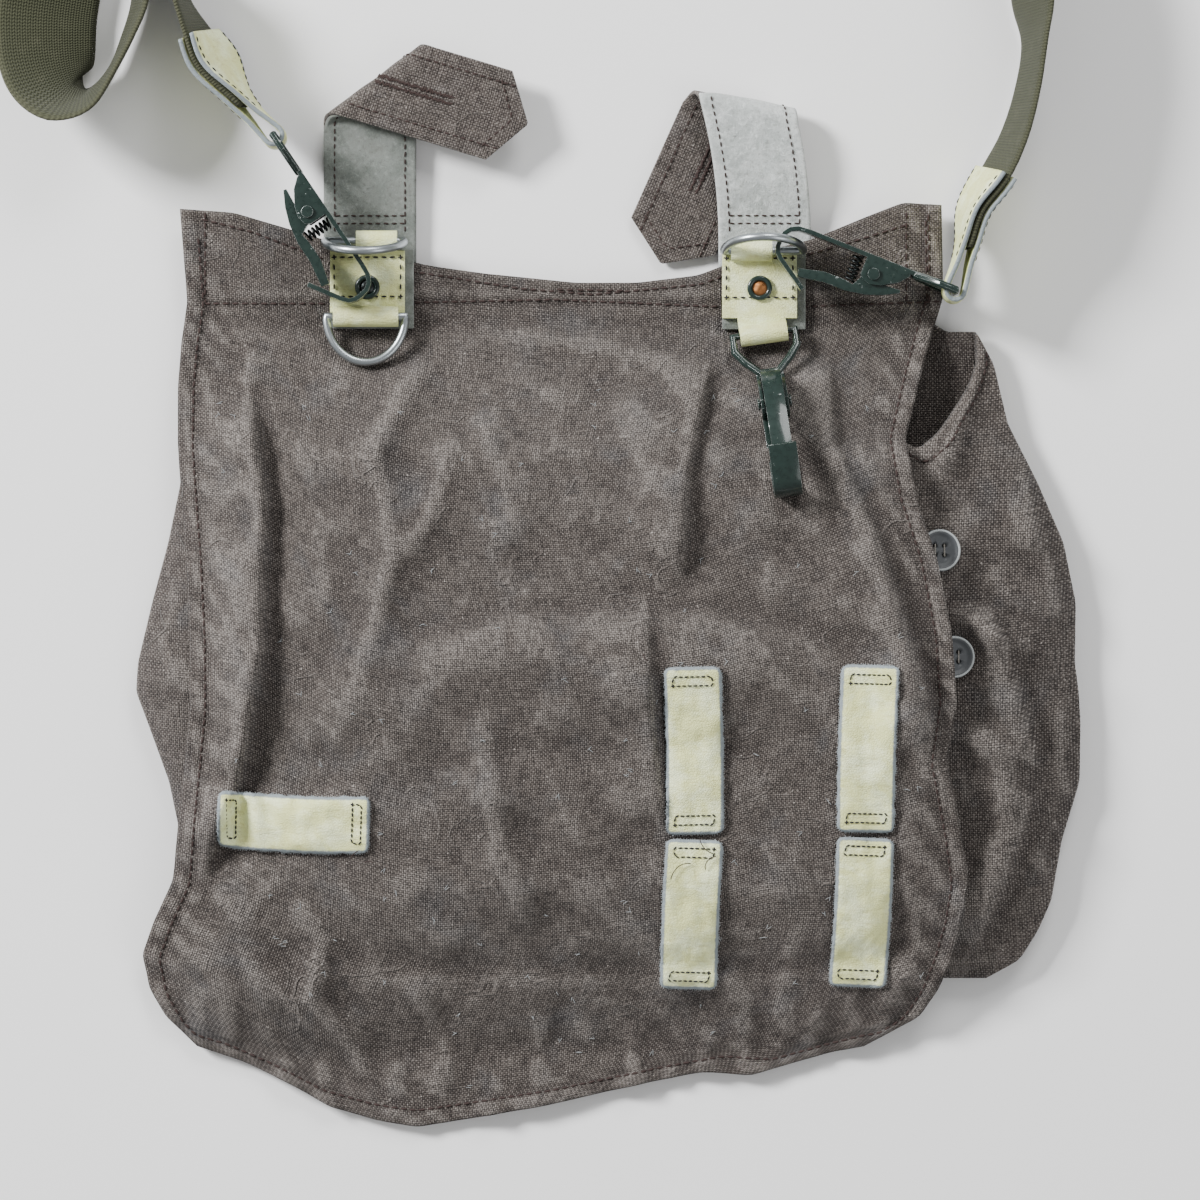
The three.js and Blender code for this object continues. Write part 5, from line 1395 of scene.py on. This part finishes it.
def buildStrap():
    size = strapSize
    bare, leather, endLength = size["bare"], size["leather"], size["endLength"]
    sections = []
    for run in np.arange(bare + 0.4, strapLength - bare - 0.4, 1.6):
        f = strapFrame(run)
        sections.append((f["centre"], f["across"], f["face"], f["width"] - 1, run))
    web = bandPiece("strap_webbing_band", sections, size["webbing"])
    dress(web, "root", "webbing", "webbing", "strap_webbing")
    bend = hookSize["eyeWire"] + size["gap"] + size["play"] + leather / 2
    lay = size["webbing"] / 2 + size["gap"] + leather / 2
    rows = []
    for name, start in (("left", True), ("right", False)):
        sign = 1 if start else -1
        legs = {}
        for side in (1, -1):
            legs[side] = []
            for distance in np.linspace(0, endLength, 40):
                f = strapFrame(distance if start else strapLength - distance)
                off = mix(bend, lay, float(ease(0, 12, distance)))
                face = f["face"] * side
                legs[side].append((f["centre"] + face * off, f["across"], face, f["width"], distance * side))
        f = strapFrame(0 if start else strapLength)
        curl = []
        for turn in np.linspace(0, math.pi, 18)[1:-1]:
            out = f["face"] * math.cos(turn) - f["way"] * (sign * math.sin(turn))
            curl.append((f["centre"] + out * bend, f["across"], out, f["width"], -turn))
        piece = bandPiece(f"strap_end_{name}_leather", legs[1][::-1] + curl + legs[-1], leather)
        dress(piece, "root", "leather", "leather", f"strap_end_{name}")
        for side in (1, -1):
            for edge in (-1, 1):
                line = []
                for distance in np.linspace(13, endLength - 3, 24):
                    f = strapFrame(distance if start else strapLength - distance)
                    over = f["across"] * edge * (f["width"] / 2 - size["seam"])
                    line.append(tuple(f["centre"] + f["face"] * side * (lay + 1.05) + over))
                rows.append(line)
    sew("strapEndStitches", "leather", "blackThread", rows, 3.0, 2.3, 0.36)


# buttons
button = {
    "radius": 7.75, "hole": 0.85, "holeOff": 1.7, "sides": 56,
    "rimRadius": 7.1, "rimWire": 0.42, "rimUp": 2.5,
}
buttonProfile = [
    (0.01, 0), (5.4, 0), (7.2, .5), (button["radius"], 1.1), (7.7, 1.9), (7.2, 2.5),
    (6.6, 2.6), (6.0, 2.3), (5.4, 1.8), (4.6, 1.65), (0.01, 1.6),
]


def buildButtons():
    # turned discs with four holes, a pale rim and thread
    reach, off, sides = button["radius"], button["holeOff"], button["sides"]
    for name, shares in buttonPlaces.items():
        x, y = onFlapShare(*shares)

        def surface(a, b):
            down = (bag["panelReach"] - b) / bag["panelLength"]
            return float(frontHeight(sideShare(a, down), down))

        slope = Vector((
            -(surface(x + reach, y) - surface(x - reach, y)) / (2 * reach),
            -(surface(x, y + reach) - surface(x, y - reach)) / (2 * reach), 1,
        )).normalized()
        turn = Vector((0, 0, 1)).rotation_difference(slope).to_matrix()
        foot = Vector((x, y, surface(x, y))) + slope * 0.5

        def on(a, b, up):
            return turn @ Vector((a, b, up)) + foot

        def around(radius, up, count):
            return [on(radius * math.cos(a), radius * math.sin(a), up) for a in circle(count)]

        points = [point for radius, up in buttonProfile for point in around(radius, up, sides)]
        piece = ringedPiece(f"button_{name}_disc", points, len(buttonProfile), sides)
        holes = [tubePiece("hole", [on(i, j, -1), on(i, j, 4)], button["hole"], 16)
                 for i in (-off, off) for j in (-off, off)]
        for hole in holes:
            cutter = piece.modifiers.new("hole", "BOOLEAN")
            cutter.operation = "DIFFERENCE"
            cutter.object = hole
        mesh = bpy.data.meshes.new_from_object(piece.evaluated_get(bpy.context.evaluated_depsgraph_get()))
        piece.modifiers.clear()
        piece.data = mesh
        for hole in holes:
            bpy.data.objects.remove(hole)
        dress(piece, "root", "button", "button", f"button_{name}")
        rim = around(button["rimRadius"], button["rimUp"], 60)
        pale = tubePiece(f"button_{name}_rim", rim, button["rimWire"], 10, True)
        dress(pale, "root", "button", "buttonRim")
        threads = [[on(i, -off, 1.75), on(i, off, 1.75)] for i in (-off, off)]
        sew(f"button_{name}_thread", "button", "greyThread", threads, 0.5, 1.4, 0.32, 0.2)


wispPlaces = [(690, 862, 9), (712, 852, 7), (705, 868, 6), (352, 858, 4), (366, 862, 3), (648, 660, 3)]


def looseThreads():
    # short ends of thread on the strips and on the cloth: pixel and length of each
    for i, (px, py, length) in enumerate(wispPlaces):
        x, y = at(px, py)
        z = flapSurface(x, y) + 3.4
        a = chance.uniform(0, 2 * math.pi)
        bend = chance.uniform(-1.2, 1.2)
        line = [
            (x + t * length * math.cos(a + bend * t), y + t * length * math.sin(a + bend * t),
             z + 0.6 * math.sin(t * 3)) for t in np.linspace(0, 1, 12)
        ]
        dress(tubePiece(f"looseThread_{i}", line, 0.17, 6), "root", "canvas", "brownThread")


stage = {
    "half": 4000, "level": -2.2, "pale": 0.97, "world": 0.36,
    "lights": [
        ("keyLight", (-2.1, 1.3, 1.6), 0.7, 165),
        ("fillLight", (2.0, -0.9, 1.9), 1.6, 20),
        ("rearLight", (0.7, 2.3, 1.9), 1.2, 44),
    ],
}


def buildStage():
    # floor, three soft lights and an even sky
    half = stage["half"]
    square = ((-half, -half), (half, -half), (half, half), (-half, half))
    floor = finishMesh("floor", [(x, y, stage["level"]) for x, y in square], [(0, 1, 2, 3)])
    pale = Finish("paleFloor", Roughness=0.9, Specular_IOR_Level=0.1)
    pale.shader.inputs["Base Color"].default_value = (stage["pale"], stage["pale"], stage["pale"], 1)
    floor.data.materials.append(pale.material)
    for name, place, size, energy in stage["lights"]:
        light = bpy.data.lights.new(name, "AREA")
        light.energy = energy
        light.size = size
        lamp = bpy.data.objects.new(name, light)
        lamp.location = place
        lamp.rotation_euler = (-Vector(place)).to_track_quat("-Z", "Y").to_euler()
        bpy.context.scene.collection.objects.link(lamp)
    world = bpy.data.worlds.new("softStudio")
    world.use_nodes = True
    background = world.node_tree.nodes["Background"]
    background.inputs["Color"].default_value = (1, 1, 1, 1)
    background.inputs["Strength"].default_value = stage["world"]
    bpy.context.scene.world = world


def buildCamera():
    # straight above, far off, with the photograph's square frame of 432 mm on the bag's middle height
    view = {"centre": (0, 14.4), "frame": 432, "height": 20, "distance": 2400}
    camera = bpy.data.cameras.new("photoCamera")
    camera.sensor_width = 36
    camera.lens = camera.sensor_width * view["distance"] / view["frame"]
    holder = bpy.data.objects.new("photoCamera", camera)
    holder.location = Vector((*view["centre"], view["distance"] + view["height"])) * mm
    bpy.context.scene.collection.objects.link(holder)
    bpy.context.scene.camera = holder


buildStage()
buildCamera()
print("stage and camera ready")
buildPouch()
buildFlap()
print("cloth ready")
sewFlap()
keepers = [buildKeeper(name, row) for name, row in strips.items()]
stripBoxes = [box for boxes, border in keepers for box in boxes]
sew("keeperStitches", "leather", "blackThread", stripBoxes, 1.9, 1.75, 0.33)
sew("keeperFrays", "leather", "fray", [border for boxes, border in keepers], 0.62, 1.5, 0.11, 1.5)
buildChapes()
print("leather ready")
buildRings()
buildHooks()
print("metal ready")
buildLoops()
buildStrap()
buildButtons()
looseThreads()
print("straps and buttons ready")
